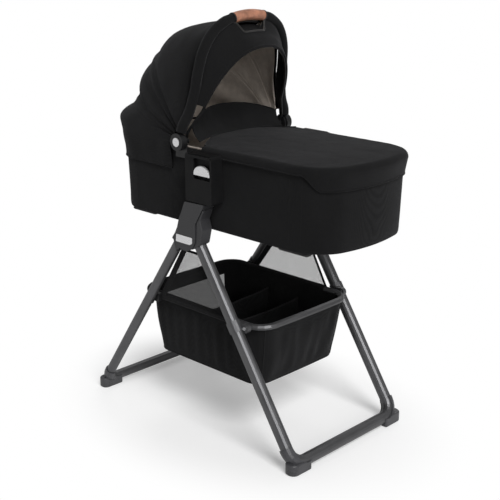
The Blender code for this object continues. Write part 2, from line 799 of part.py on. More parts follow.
def apron_rings(offset, top_z, radius):
    """Rings from the hem, over the rounded edge, to the crown."""
    hem = [Vector((p.x, p.y, apron_hem_z(p))) for p in apron_ring(-offset, 0.0)]
    half = [
        Vector((p.x, p.y, (apron_hem_z(p) + top_z - radius) / 2.0)) for p in apron_ring(-offset - 0.0006, 0.0)]
    rings = [hem, half]
    for step in range(4):
        angle = math.radians(90.0 * step / 3.0)
        inset = -offset + radius * (1.0 - math.cos(angle))
        rings.append(apron_ring(inset, top_z - radius + radius * math.sin(angle)))
    for share in (0.3, 0.62, 0.9):
        inset = -offset + radius + share * 0.16
        rise = APRON_CROWN * (1.0 - (1.0 - share) ** 2)
        rings.append(apron_ring(inset, top_z + rise))
    return rings


def flap_line():
    """Head-side edge of the foot cover seen from above, near side to far side."""
    return [
        (0.030, -COT_HALF_W - 0.0885), (0.030, -COT_HALF_W - 0.0385), (0.010, 0.0015 - COT_HALF_W),
        (-0.022, -0.150), (-0.043, -0.095), (-0.054, -0.030),
        (-0.056, 0.030), (-0.045, 0.095), (-0.024, 0.150),
        (0.010, COT_HALF_W - 0.0015), (0.030, COT_HALF_W + 0.0385), (0.030, COT_HALF_W + 0.0885),
    ]


def apron():
    top = COT_TOP_Z + APRON_RISE
    gap = CLOTH_GAP
    outer = apron_rings(gap + APRON_T, top, APRON_EDGE_R)
    inner = apron_rings(gap, top - APRON_T, APRON_EDGE_R - APRON_T)
    lid = loft(list(reversed(inner)) + outer)
    item = add_object("apron", lid, "cot", black_cloth())
    away = flap_line() + [(-0.60, COT_HALF_W + 0.0935), (-0.60, -COT_HALF_W - 0.0935)]
    cut_mesh(item, "apron_end", prism(away, 0.60, 1.10, "z"), "cot")
    reach = ADAPTER_W / 2.0 + 2.0 * RUNNING
    for side, sign in SIDES:
        low, high = sorted((sign * (COT_HALF_W - 0.02), sign * (COT_HALF_W + 0.05)))
        notch = [
            (ADAPTER_X - reach, 0.80), (ADAPTER_X + reach, 0.80),
            (ADAPTER_X + reach, ADAPTER_TOP_Z + CLOTH_GAP), (ADAPTER_X - reach, ADAPTER_TOP_Z + CLOTH_GAP)]
        cut_mesh(item, "apron_notch_" + side, prism(notch, low, high), "cot")


def wind_flap():
    """A stiffened flap that stands up from the foot cover's head-side edge."""
    base_z = COT_TOP_Z + APRON_RISE + CLOTH_GAP
    outer = []
    inner = []
    count = 15
    half = COT_HALF_W - 0.0285
    for row in range(5):
        t = row / 4.0
        outer_row = []
        inner_row = []
        for column in range(count):
            y = -half + 2.0 * half * column / (count - 1)
            s = 1.0 - (y / (half * 1.12)) ** 2
            x = -0.004 - 0.046 * s - 0.050 * t * (0.45 + 0.55 * s)
            share = min(1.0, (COT_HALF_W - 0.004 - abs(y)) / 0.16)
            z = base_z + APRON_CROWN * (1.0 - (1.0 - share) ** 2)
            z += FLAP_H * t * (0.35 + 0.65 * math.sqrt(max(s, 0.0)))
            outer_row.append(Vector((x, y, z)))
            inner_row.append(Vector((x - FLAP_T, y, z + FLAP_T * 0.35)))
        outer.append(outer_row)
        inner.append(inner_row)
    mesh = closed_sheet(outer, inner)
    add_object("wind_flap", mesh, "cot", black_cloth())


def closed_sheet(front, back):
    """Closes two matching point grids into one thin solid."""
    work = bmesh.new()
    rows_f = [[work.verts.new(p) for p in row] for row in front]
    rows_b = [[work.verts.new(p) for p in row] for row in back]
    rows = len(front)
    columns = len(front[0])
    for i in range(rows - 1):
        for j in range(columns - 1):
            work.faces.new((rows_f[i][j], rows_f[i][j + 1], rows_f[i + 1][j + 1], rows_f[i + 1][j]))
            work.faces.new((rows_b[i][j], rows_b[i + 1][j], rows_b[i + 1][j + 1], rows_b[i][j + 1]))
    for j in range(columns - 1):
        work.faces.new((rows_f[0][j], rows_b[0][j], rows_b[0][j + 1], rows_f[0][j + 1]))
        work.faces.new((rows_f[-1][j], rows_f[-1][j + 1], rows_b[-1][j + 1], rows_b[-1][j]))
    for i in range(rows - 1):
        work.faces.new((rows_f[i][0], rows_f[i + 1][0], rows_b[i + 1][0], rows_b[i][0]))
        work.faces.new((rows_f[i][-1], rows_b[i][-1], rows_b[i + 1][-1], rows_f[i + 1][-1]))
    return bake(work)


def adapters():
    wall_y = COT_HALF_W + COT_FLARE_SIDE + CLOTH_GAP
    for side, sign in SIDES:
        low_x = ADAPTER_X - ADAPTER_W / 2.0
        high_x = ADAPTER_X + ADAPTER_W / 2.0
        outline = rounded((
            (low_x, HUB_TOP_Z + ADAPTER_SEAT, 0.006), (high_x, HUB_TOP_Z + ADAPTER_SEAT, 0.006),
            (high_x, ADAPTER_TOP_Z, 0.010), (low_x, ADAPTER_TOP_Z, 0.010)))
        low, high = sorted((sign * wall_y, sign * ADAPTER_OUT_Y))
        housing = add_object("adapter_" + side, prism(outline, low, high), "cot", black_plastic())
        recess = rounded((
            (RECESS_X - RECESS_W / 2.0, RECESS_Z, 0.004), (RECESS_X + RECESS_W / 2.0, RECESS_Z, 0.004),
            (RECESS_X + RECESS_W / 2.0, RECESS_TOP_Z, 0.006), (RECESS_X - RECESS_W / 2.0, RECESS_TOP_Z, 0.006)))
        cut_low, cut_high = sorted((sign * (ADAPTER_OUT_Y - RECESS_D), sign * (ADAPTER_OUT_Y + 0.02)))
        cut_mesh(housing, "recess_" + side, prism(recess, cut_low, cut_high), "cot")
        half = POST_W / 2.0 + 0.0015
        pocket = [
            (POST_X - half, HUB_TOP_Z + ADAPTER_SEAT - 0.02), (POST_X + half, HUB_TOP_Z + ADAPTER_SEAT - 0.02),
            (POST_X + half, HUB_TOP_Z + POST_H + GAP), (POST_X - half, HUB_TOP_Z + POST_H + GAP)]
        pocket_half = POST_T / 2.0 + 0.0012
        pocket_low, pocket_high = sorted((sign * (POST_Y - pocket_half), sign * (POST_Y + pocket_half)))
        cut_mesh(housing, "pocket_" + side, prism(pocket, pocket_low, pocket_high), "cot")
        lip = rounded((
            (low_x + 0.010, RECESS_TOP_Z + 0.002, 0.002), (high_x - 0.002, RECESS_TOP_Z + 0.002, 0.002),
            (high_x - 0.002, RECESS_TOP_Z + 0.009, 0.002), (low_x + 0.010, RECESS_TOP_Z + 0.009, 0.002)))
        lip_low, lip_high = sorted((sign * (ADAPTER_OUT_Y - 0.004), sign * (ADAPTER_OUT_Y + 0.005)))
        join_mesh(housing, "lip_" + side, prism(lip, lip_low, lip_high), "cot")
        soften(housing, 0.0014)

        top = BUTTON_Z + BUTTON_H
        width = BUTTON_W / 2.0
        outline = [(RECESS_X + width, BUTTON_Z), (RECESS_X + width, BUTTON_Z + 0.006)]
        for step in range(1, 12):
            angle = math.radians(180.0 * step / 12.0)
            outline.append((
                RECESS_X + width * math.cos(angle),
                BUTTON_Z + 0.006 + (top - BUTTON_Z - 0.006) * math.sin(angle)))
        outline += [(RECESS_X - width, BUTTON_Z + 0.006), (RECESS_X - width, BUTTON_Z)]
        floor_y = ADAPTER_OUT_Y - RECESS_D + BUTTON_TRAVEL + GAP
        low, high = sorted((sign * floor_y, sign * (floor_y + BUTTON_D)))
        button = add_object("release_button_" + side, prism(outline, low, high), "button_" + side, silver())
        soften(button, 0.0016)


def hoop_point(lean, radius, y):
    """A point at a radius from the hinge axis, in a plane leaning forward of upright."""
    angle = math.radians(lean)
    return Vector((HINGE_X + radius * math.sin(angle), y, HINGE_Z + radius * math.cos(angle)))


def smooth_profile(points, steps):
    """Points evenly along a smooth line through a list of (r, y)."""
    full = list(points) + [(r, -y) for r, y in reversed(points[:-1])]
    curve = []
    count = len(full)
    for index in range(count - 1):
        p0 = full[max(index - 1, 0)]
        p1 = full[index]
        p2 = full[index + 1]
        p3 = full[min(index + 2, count - 1)]
        for step in range(8):
            t = step / 8.0
            point = []
            for a, b, c, d in zip(p0, p1, p2, p3):
                point.append(0.5 * (2.0 * b + (c - a) * t + (2.0 * a - 5.0 * b + 4.0 * c - d) * t ** 2
                                    + (3.0 * b - a - 3.0 * c + d) * t ** 3))
            curve.append(tuple(point))
    curve.append(full[-1])
    lengths = [0.0]
    for before, after in zip(curve, curve[1:]):
        lengths.append(lengths[-1] + math.dist(before, after))
    even = []
    place = 0
    for step in range(steps + 1):
        target = lengths[-1] * step / steps
        while place < len(curve) - 2 and lengths[place + 1] < target:
            place += 1
        span = lengths[place + 1] - lengths[place]
        t = 0.0 if span == 0.0 else (target - lengths[place]) / span
        even.append(tuple(a + (b - a) * t for a, b in zip(curve[place], curve[place + 1])))
    return even


def hoop_profile(radius, half_w, power, start_r, steps):
    """A hood section as (r, y): a superellipse arch whose feet are near the hinge."""
    points = []
    first = math.asin((start_r / radius) ** (power / 2.0))
    for step in range(steps + 1):
        angle = first + (math.pi - 2.0 * first) * step / steps
        c = math.cos(angle)
        s = math.sin(angle)
        y = half_w * math.copysign(abs(c) ** (2.0 / power), c)
        r = radius * abs(s) ** (2.0 / power)
        points.append((r, y))
    return points


def handle():
    path = [hoop_point(HANDLE_LEAN, r, y) for r, y in smooth_profile(HANDLE_PROFILE, 28)]
    near_end = hoop_point(HANDLE_LEAN, 0.020, (HUB_DISC_IN + HUB_DISC_OUT) / 2.0 - 0.003)
    far_end = hoop_point(HANDLE_LEAN, 0.020, -(HUB_DISC_IN + HUB_DISC_OUT) / 2.0 + 0.003)
    near_mid = hoop_point(HANDLE_LEAN, 0.050, HUB_DISC_IN - 0.0015)
    far_mid = hoop_point(HANDLE_LEAN, 0.050, 0.0015 - HUB_DISC_IN)
    path = [near_end, near_mid] + path + [far_mid, far_end]
    item = add_object("carry_handle", round_tube(path, HANDLE_TUBE_R, 10), "handle", black_cloth())
    for side, sign in SIDES:
        centre_in = Vector((HINGE_X, sign * (HUB_DISC_IN - 0.02), HINGE_Z))
        centre_out = Vector((HINGE_X, sign * (HUB_DISC_OUT + 0.02), HINGE_Z))
        disc_room = cylinder_between(centre_in, centre_out, HUB_DISC_R + GAP * 2.0, 24)
        cut_mesh(item, "handle_end_" + side, disc_room, "handle")
    grip_path = [p for p in path if abs(p.y) < GRIP_HALF - 0.004]
    edge = [hoop_at_y(path, GRIP_HALF), hoop_at_y(path, -GRIP_HALF)]
    grip_path = [edge[0]] + grip_path + [edge[1]]
    ahead = (grip_path[-1] - grip_path[-2]).normalized() * 0.01
    behind = (grip_path[0] - grip_path[1]).normalized() * 0.01
    outside = HANDLE_TUBE_R + GAP + GRIP_WALL
    grip = add_object("leather_grip", round_tube(grip_path, outside, 16), "handle", leather())
    bore_path = [grip_path[0] + behind] + path_between(path, GRIP_HALF) + [grip_path[-1] + ahead]
    cut_mesh(grip, "grip_bore", round_tube(bore_path, HANDLE_TUBE_R + GAP * 2.0, 12), "handle")
    for side, sign in SIDES:
        low, high = sorted((sign * HUB_DISC_IN, sign * HUB_DISC_OUT))
        hub = add_object("handle_hub_" + side, prism(disc((HINGE_X, HINGE_Z), HUB_DISC_R, 24), low, high),
                         "handle", black_plastic())
        bore_low, bore_high = sorted((sign * (HUB_DISC_IN - 0.01), sign * (HUB_DISC_OUT - 0.004)))
        cut_mesh(hub, "handle_hub_bore_" + side,
                 prism(disc((HINGE_X, HINGE_Z), HINGE_PIN_R + RUNNING, 14), bore_low, bore_high), "handle")
        seat_low, seat_high = sorted((sign * (HUB_DISC_OUT - 0.0012), sign * (HUB_DISC_OUT + 0.01)))
        cut_mesh(hub, "handle_cap_seat_" + side,
                 prism(disc((HINGE_X, HINGE_Z), CAP_R + GAP, 18), seat_low, seat_high), "handle")
        soften(hub, 0.0020)
        cap_low, cap_high = sorted((sign * (HUB_DISC_OUT - 0.0009), sign * (HUB_DISC_OUT - 0.0009 + CAP_T)))
        cap = add_object("pivot_cap_" + side, prism(disc((HINGE_X, HINGE_Z), CAP_R, 18), cap_low, cap_high),
                         "handle", silver())
        soften(cap, 0.0008)


def hoop_at_y(path, y):
    """The point where a path crosses a given y, near its crown."""
    for before, after in zip(path, path[1:]):
        if (before.y - y) * (after.y - y) <= 0.0 and before.z > HINGE_Z + 0.2:
            t = (before.y - y) / (before.y - after.y)
            return before.lerp(after, t)
    return path[len(path) // 2]


def path_between(path, half):
    return [p for p in path if abs(p.y) < half - 0.004]


def pivot_blocks():
    inner = COT_HALF_W + COT_FLARE_SIDE + GAP * 2.0
    for side, sign in SIDES:
        outline = [(HINGE_X - 0.026, 0.846), (HINGE_X + 0.026, 0.846)]
        outline += arc((HINGE_X, HINGE_Z), 0.020, -8.0, 188.0, 14)
        low, high = sorted((sign * inner, sign * (HUB_DISC_IN - RUNNING)))
        block = add_object("pivot_block_" + side, prism(outline, low, high), "cot", black_plastic())
        pin_in = Vector((HINGE_X, sign * (EYELET_Y - 3.0 * (BOW_T + RUNNING) - 0.002), HINGE_Z))
        pin_out = Vector((HINGE_X, sign * (HUB_DISC_OUT - 0.0048), HINGE_Z))
        join_mesh(block, "pivot_pin_" + side, cylinder_between(pin_in, pin_out, HINGE_PIN_R, 20), "cot")


def bow(name, body, lean, profile, layer):
    """A flat strip bent to a hood section, with an eyelet on each pivot pin."""
    y_eye = EYELET_Y - layer * (BOW_T + RUNNING)
    arch = [(r, y) for r, y in profile if r > 0.07]
    first = [(EYELET_R * 0.6, y_eye), (0.028, y_eye), (0.040, y_eye - 0.004)]
    last = [(r, -y) for r, y in reversed(first)]
    points = [hoop_point(lean, r, y) for r, y in first + arch + last]
    across = Vector((math.cos(math.radians(lean)), 0.0, -math.sin(math.radians(lean))))
    rings = []
    for index, point in enumerate(points):
        ahead = points[min(index + 1, len(points) - 1)]
        behind = points[max(index - 1, 0)]
        out = (ahead - behind).normalized().cross(across)
        ring = []
        for u, v in ((-0.5, -0.5), (0.5, -0.5), (0.5, 0.5), (-0.5, 0.5)):
            ring.append(point + across * BOW_W * u + out * BOW_T * v)
        rings.append(ring)
    item = add_object(name, loft(rings), body, black_plastic())
    for side, sign in SIDES:
        low, high = sorted((sign * (y_eye - BOW_T / 2.0), sign * (y_eye + BOW_T / 2.0)))
        join_mesh(item, "%s_eye_%s" % (name, side),
                  prism(disc((HINGE_X, HINGE_Z), EYELET_R + 0.001, 14), low, high), body)
        bore_low, bore_high = sorted((low - 0.01, high + 0.01))
        cut_mesh(item, "%s_bore_%s" % (name, side),
                 prism(disc((HINGE_X, HINGE_Z), HINGE_PIN_R + RUNNING, 12), bore_low, bore_high), body)
    return item


def visor_profile(steps):
    return hoop_profile(VISOR_R, VISOR_HALF_W, VISOR_POWER, 0.0, steps)


def bow_profile(radius, steps):
    return hoop_profile(radius, BOW_HALF_W, BOW_POWER, 0.0, steps)


def bows():
    bow("visor_bow", "visor", VISOR_LEAN, visor_profile(22), 0)
    bow("hood_bow_mid", "bow_mid", BOW_LEANS[0], bow_profile(BOW_RS[0], 22), 1)
    bow("hood_bow_rear", "bow_rear", BOW_LEANS[1], bow_profile(BOW_RS[1], 22), 2)


def section(lean, radius, half_w, power, start_r, columns, shift=0.0):
    """A hood section in a plane through the hinge, or beside it by a shift toward the foot end."""
    angle = math.radians(lean)
    aside = Vector((math.cos(angle), 0.0, -math.sin(angle))) * shift
    return [hoop_point(lean, r, y) + aside for r, y in hoop_profile(radius, half_w, power, start_r, columns)]


def panel(name, body, stations, start_r=0.046, columns=24):
    """A cloth panel between two bows: stations are (lean, radius, half width, power, shift)."""
    outer = [section(lean, r, w, n, start_r, columns, d) for lean, r, w, n, d in stations]
    inner = [section(lean, r - HOOD_T, w - HOOD_T, n, start_r, columns, d) for lean, r, w, n, d in stations]
    return add_object(name, closed_sheet(outer, inner), body, black_cloth())


def cloth_r(bow_r):
    """Outer radius of the cloth that lies on a bow."""
    return bow_r + BOW_T / 2.0 + HOOD_T + 2.0 * GAP


def hood_panels():
    beside = HANDLE_TUBE_R + 2.0 * RUNNING
    span = HANDLE_LEAN - BOW_LEANS[0]
    r1 = cloth_r(BOW_RS[0])
    r2 = cloth_r(BOW_RS[1])
    w = HOOD_HALF_W
    visor_w = VISOR_HALF_W + BOW_T / 2.0 + HOOD_T + 2.0 * GAP
    visor = panel("visor_cloth", "visor", [
        (HANDLE_LEAN, 0.334, COT_HALF_W - 0.0145, VISOR_POWER + 0.45, beside),
        ((HANDLE_LEAN * 0.35 + VISOR_LEAN * 0.65), VISOR_R + 0.015, visor_w + 0.006, VISOR_POWER + 0.20, 0.0),
        (VISOR_LEAN + 0.8, cloth_r(VISOR_R), visor_w, VISOR_POWER, 0.0),
    ], 0.115)
    back = GRIP_GAP_X - 0.060
    hold = rounded((
        (back, -GRIP_GAP_HALF, 0.0), (GRIP_GAP_X, -GRIP_GAP_HALF * 0.9, 0.020),
        (GRIP_GAP_X, GRIP_GAP_HALF * 0.9, 0.020), (back, GRIP_GAP_HALF, 0.0)))
    cut_mesh(visor, "visor_hand_hold", prism(hold, 1.12, 1.26, "z"), "visor")
    panel("hood_main", "handle", [
        (HANDLE_LEAN, HOOD_CROWN_RS[0], w - 0.006, HOOD_POWER, -beside),
        (HANDLE_LEAN - span * 0.22, HOOD_CROWN_RS[0], w - 0.002, HOOD_POWER, -beside * 0.4),
        (HANDLE_LEAN - span * 0.45, HOOD_CROWN_RS[1], w, HOOD_POWER, 0.0),
        (HANDLE_LEAN - span * 0.72, HOOD_CROWN_RS[2], w, HOOD_POWER, 0.0),
        (BOW_LEANS[0] + 0.4, r1, w - 0.003, HOOD_POWER, 0.0),
    ])
    panel("hood_mid", "bow_mid", [
        (BOW_LEANS[0] - 0.2, r1, w - 0.003, HOOD_POWER, 0.0),
        ((BOW_LEANS[0] + BOW_LEANS[1]) / 2.0, (r1 + r2) / 2.0 + HOOD_PUFF, w, HOOD_POWER + 0.1, 0.0),
        (BOW_LEANS[1] + 0.4, r2, w - 0.003, HOOD_POWER + 0.2, 0.0),
    ])


def rear_panel():
    """The hood's tail: from the rear bow over the bulge, then down as a skirt round the cot's head end."""
    r2 = cloth_r(BOW_RS[1])
    columns = 24
    out = CLOTH_GAP + HOOD_T + 0.0030
    outer = [
        section(BOW_LEANS[1] - 0.2, r2, HOOD_HALF_W - 0.003, HOOD_POWER + 0.2, 0.046, columns),
        section((BOW_LEANS[1] + REAR_LEAN) / 2.0, REAR_R - 0.004, HOOD_HALF_W + 0.003, 4.0, 0.048, columns),
    ]
    inner = [
        section(BOW_LEANS[1] - 0.2, r2 - HOOD_T, HOOD_HALF_W - 0.003 - HOOD_T, HOOD_POWER + 0.2, 0.046, columns),
        section((BOW_LEANS[1] + REAR_LEAN) / 2.0, REAR_R - 0.004 - HOOD_T, HOOD_HALF_W + 0.003 - HOOD_T, 4.0,
                0.048, columns),
    ]
    for z, spread in ((0.884, 0.006), (0.860, 0.004), (0.834, 0.001), (SKIRT_Z, 0.0)):
        outer.append(skirt_row(out + spread, z, columns))
        inner.append(skirt_row(out - HOOD_T + spread, z, columns))
    add_object("hood_rear", closed_sheet(outer, inner), "cot", black_cloth())


def skirt_row(offset, z, columns):
    """Points round the cot's head end, from one hinge to the other."""
    ring = cot_ring(min(z, COT_TOP_Z), -offset)
    head = [p for p in ring if p.x < HINGE_X - 0.040]
    head.sort(key=lambda p: math.atan2(p.y, -(p.x - HINGE_X)), reverse=True)
    start = Vector((HINGE_X - 0.046, head[0].y, z))
    end = Vector((HINGE_X - 0.046, head[-1].y, z))
    line = [start] + [Vector((p.x, p.y, z)) for p in head if p.x < HINGE_X - 0.050] + [end]
    lengths = [0.0]
    for before, after in zip(line, line[1:]):
        lengths.append(lengths[-1] + (after - before).length)
    row = []
    place = 0
    for step in range(columns + 1):
        target = lengths[-1] * step / columns
        while place < len(line) - 2 and lengths[place + 1] < target:
            place += 1
        span = lengths[place + 1] - lengths[place]
        row.append(line[place].lerp(line[place + 1], (target - lengths[place]) / span))
    return row


def ring_path(inset=0.0, z=RING_Z):
    return plan_ring(
        RING_HEAD_X + inset, RING_FOOT_X - inset, RING_HALF_W - inset, RING_CORNER_R - inset * 0.5, z,
                     bow=0.004, steps=5, side_steps=3)


def bag_ring(z, inset):
    t = (RING_Z - z) / (RING_Z - BAG_Z)
    top_inset = RING_TUBE_R + CLOTH_GAP
    head = RING_HEAD_X + top_inset + (BAG_HEAD_X - RING_HEAD_X - top_inset) * t + inset
    foot = RING_FOOT_X - top_inset + (BAG_FOOT_X - RING_FOOT_X + top_inset) * t - inset
    half = RING_HALF_W - top_inset + (BAG_HALF_W - RING_HALF_W + top_inset) * t - inset
    return plan_ring(head, foot, half, RING_CORNER_R - top_inset - inset, z, bow=0.003, steps=4, side_steps=3)


def basket():
    ring = add_object(
        "basket_ring", round_tube(ring_path(), RING_TUBE_R, 8, closed=True), "basket", anthracite())
    for side, sign in SIDES:
        hole = bore_between(
            Vector((RIVET_X, sign * (RING_HALF_W - 0.05), RING_Z)),
            Vector((RIVET_X, sign * (RING_HALF_W + 0.04), RING_Z)), RIVET_R + GAP, 14)
        cut_mesh(ring, "ring_hole_" + side, hole, "basket")
    top = RING_Z + 0.004
    edge = 0.010
    outside = [
        bag_ring(BAG_Z, edge), bag_ring(BAG_Z + edge * 0.4, edge * 0.3), bag_ring(BAG_Z + edge, 0.0),
        bag_ring(0.28, 0.0), bag_ring(top, 0.0)]
    inside = [
        bag_ring(top, BAG_WALL), bag_ring(0.28, BAG_WALL), bag_ring(BAG_Z + edge, BAG_WALL),
        bag_ring(BAG_Z + BAG_WALL, BAG_WALL + edge * 0.6)]
    add_object("basket_bag", tub(outside, inside), "basket", black_cloth())
    for number, x in enumerate(DIVIDER_XS):
        low = BAG_Z + BAG_WALL + CLOTH_GAP
        rows = []
        for z in (low, (low + DIVIDER_TOP_Z) / 2.0, DIVIDER_TOP_Z):
            t = (RING_Z - z) / (RING_Z - BAG_Z)
            top_inset = RING_TUBE_R + CLOTH_GAP
            half = RING_HALF_W - top_inset + (BAG_HALF_W - RING_HALF_W + top_inset) * t
            half -= BAG_WALL + CLOTH_GAP
            if z == low:
                half -= edge * 0.6
            rows.append([
                Vector((x - DIVIDER_T / 2.0, -half, z)), Vector((x + DIVIDER_T / 2.0, -half, z)),
                Vector((x + DIVIDER_T / 2.0, half, z)), Vector((x - DIVIDER_T / 2.0, half, z))])
        add_object("basket_divider_%d" % (number + 1), loft(rows), "basket", black_cloth(), smooth=False)


def leg_x(direction, z):
    """x of a leg's centre line at height z."""
    return direction.x * (APEX_Z - z) / -direction.z


def basket_brackets():
    leg_at = leg_x(FOOT_DIR, RING_Z)
    wall_y = LEG_Y - FOOT_TUBE_R
    lug_out = wall_y - 0.0004 + 0.009
    lug_in = RING_HALF_W + RING_TUBE_R + RUNNING * 1.5
    for side, sign in SIDES:
        centre = Vector((0.0, sign * LEG_Y, 0.0))
        low, high = sorted((sign * lug_in, sign * lug_out))
        outline = arc((RIVET_X, RING_Z), LUG_R, -75.0, 120.0, 12)
        along = FOOT_DIR * BRACKET_HALF
        mid = Vector((leg_at, 0.0, RING_Z))
        outline += [(mid.x - along.x, mid.z - along.z), (mid.x + along.x, mid.z + along.z)]
        bracket = add_object("basket_bracket_" + side, prism(outline, low, high), "foot_frame", black_plastic())
        clasp = cylinder_between(APEX + centre + FOOT_DIR * (bracket_s(-BRACKET_HALF)),
                                 APEX + centre + FOOT_DIR * (bracket_s(BRACKET_HALF)),
                                 FOOT_TUBE_R + CLASP_WALL, 18)
        join_mesh(bracket, "bracket_clasp_" + side, clasp, "foot_frame")
        bore = bore_between(
            APEX + centre + FOOT_DIR * bracket_s(-0.08), APEX + centre + FOOT_DIR * bracket_s(0.08),
            FOOT_TUBE_R + GAP, 18)
        cut_mesh(bracket, "bracket_bore_" + side, bore, "foot_frame")
        hole = bore_between(
            Vector((RIVET_X, sign * (RING_HALF_W - 0.05), RING_Z)),
            Vector((RIVET_X, sign * (LEG_Y + 0.07), RING_Z)), RIVET_R + RUNNING, 14)
        cut_mesh(bracket, "bracket_hole_" + side, hole, "foot_frame")
        clear = prism([(0.0, 0.0), (0.4, 0.0), (0.4, 0.6), (0.0, 0.6)],
                      *sorted((sign * 0.10, sign * lug_in)))
        cut_mesh(bracket, "bracket_inner_" + side, clear, "foot_frame")

        head_y = lug_out + 0.0010
        rivet = add_object("basket_rivet_" + side, cylinder_between(
            Vector((RIVET_X, sign * (RING_HALF_W - RING_TUBE_R + 0.002), RING_Z)),
            Vector((RIVET_X, sign * (head_y + 0.0005), RING_Z)), RIVET_R, 14), "basket", silver())
        join_mesh(rivet, "rivet_head_" + side, cylinder_between(
            Vector((RIVET_X, sign * (head_y), RING_Z)),
            Vector((RIVET_X, sign * (head_y + 0.0022), RING_Z)), RIVET_HEAD_R, 16), "basket")


def bracket_s(offset):
    """Distance down the foot leg's line to the basket's height, plus an offset."""
    return (APEX_Z - RING_Z) / math.cos(FOOT_ANGLE) + offset


def ring_guides():
    """Saddles on the head legs' inner sides, along whose faces the basket's frame slides as it folds."""
    wall_y = LEG_Y - HEAD_TUBE_R
    s = (APEX_Z - RING_Z) / math.cos(HEAD_ANGLE)
    x = leg_x(HEAD_DIR, RING_Z)
    for side, sign in SIDES:
        centre = Vector((0.0, sign * LEG_Y, 0.0))
        clasp = cylinder_between(
            APEX + centre + HEAD_DIR * (s - BRACKET_HALF),
            APEX + centre + HEAD_DIR * (s + BRACKET_HALF), HEAD_TUBE_R + CLASP_WALL, 18)
        guide = add_object("ring_guide_" + side, clasp, "stand", black_plastic())
        pad = rounded((
            (x - 0.006, RING_Z - 0.015, 0.005), (x + 0.030, RING_Z - 0.015, 0.005),
            (x + 0.030, RING_Z + 0.013, 0.005), (x - 0.006, RING_Z + 0.013, 0.005)))
        lug_in = RING_HALF_W + RING_TUBE_R + RUNNING
        low, high = sorted((sign * lug_in, sign * (wall_y + 0.006)))
        join_mesh(guide, "guide_pad_" + side, prism(pad, low, high), "stand")
        bore = bore_between(
            APEX + centre + HEAD_DIR * (s - 0.08), APEX + centre + HEAD_DIR * (s + 0.08),
            HEAD_TUBE_R + GAP, 18)
        cut_mesh(guide, "guide_bore_" + side, bore, "stand")
        away_low, away_high = sorted((sign * (LEG_Y - 0.003), sign * (LEG_Y + 0.040)))
        away = prism([(x - 0.1, RING_Z - 0.1), (x + 0.1, RING_Z - 0.1), (x + 0.1, RING_Z + 0.1),
                      (x - 0.1, RING_Z + 0.1)], away_low, away_high)
        cut_mesh(guide, "guide_open_" + side, away, "stand")


def side_nets():
    """Net panels that hang between the legs, from the hubs down to the basket's frame."""
    half_t = 0.0008
    for side, sign in SIDES:
        rows = []
        for z, y in ((RING_Z + 0.020, RING_HALF_W + RING_TUBE_R + 0.0008 + half_t), (0.562, LEG_Y - 0.004)):
            head_x = leg_x(HEAD_DIR, z) + (HEAD_TUBE_R + GAP) / math.cos(HEAD_ANGLE)
            foot_x = leg_x(FOOT_DIR, z) - (FOOT_TUBE_R + GAP) / math.cos(FOOT_ANGLE)
            rows.append([
                Vector((head_x, sign * (y - half_t), z)), Vector((foot_x, sign * (y - half_t), z)),
                Vector((foot_x, sign * (y + half_t), z)), Vector((head_x, sign * (y + half_t), z))])
        add_object("side_net_" + side, loft(rows), "stand", black_cloth(), smooth=False)


def build():
    clear_scene()
    make_body("stand", Vector((0.0, 0.0, 0.0)))
    make_body("foot_frame", FOLD, "stand")
    make_body("basket", Vector((RIVET_X, 0.0, RING_Z)), "foot_frame")
    make_body("cot", Vector((0.0, 0.0, COT_Z)), "stand")
    make_body("handle", HINGE, "cot")
    make_body("visor", HINGE, "handle")
    make_body("bow_mid", HINGE, "cot")
    make_body("bow_rear", HINGE, "cot")
    for side, sign in SIDES:
        make_body("button_" + side, Vector((RECESS_X, sign * ADAPTER_OUT_Y, BUTTON_Z)), "cot")
    frames()
    hubs()
    side_nets()
    basket()
    basket_brackets()
    ring_guides()
    base_board()
    cot_shell()
    cot_rim()
    cot_lining()
    mattress()
    cot_feet()
    apron()
    wind_flap()
    adapters()
    pivot_blocks()
    handle()
    bows()
    hood_panels()
    rear_panel()


build()
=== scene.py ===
"""Looks of a bassinet on its folding stand: cloth, leather, paint and plastic round its fixed frame.

Lengths are metres. +X runs to the cot's foot end, -Y to its near side, and +Z is up.
"""

import json
import math

import bpy
import numpy as np
from bpy.props import FloatProperty, FloatVectorProperty, PointerProperty
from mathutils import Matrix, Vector, noise


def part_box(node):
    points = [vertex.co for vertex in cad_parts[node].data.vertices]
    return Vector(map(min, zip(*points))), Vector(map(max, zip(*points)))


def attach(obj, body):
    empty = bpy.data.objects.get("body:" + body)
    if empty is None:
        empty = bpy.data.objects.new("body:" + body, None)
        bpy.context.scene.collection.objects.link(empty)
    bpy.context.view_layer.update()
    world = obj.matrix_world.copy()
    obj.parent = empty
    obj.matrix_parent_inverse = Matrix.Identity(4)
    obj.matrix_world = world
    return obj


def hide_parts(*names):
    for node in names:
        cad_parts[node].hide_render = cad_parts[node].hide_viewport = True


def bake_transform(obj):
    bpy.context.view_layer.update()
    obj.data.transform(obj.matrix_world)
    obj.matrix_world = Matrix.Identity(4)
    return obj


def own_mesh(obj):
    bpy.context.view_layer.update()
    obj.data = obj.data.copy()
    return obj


bl_info = {
    "name": "Bassinet finish",
    "version": (1, 0),
    "blender": (4, 5, 0),
    "location": "View3D > Sidebar > Bassinet",
    "description": "Cloth, leather, paint and plastic for a bassinet on a folding stand",
    "category": "Add Mesh",
}

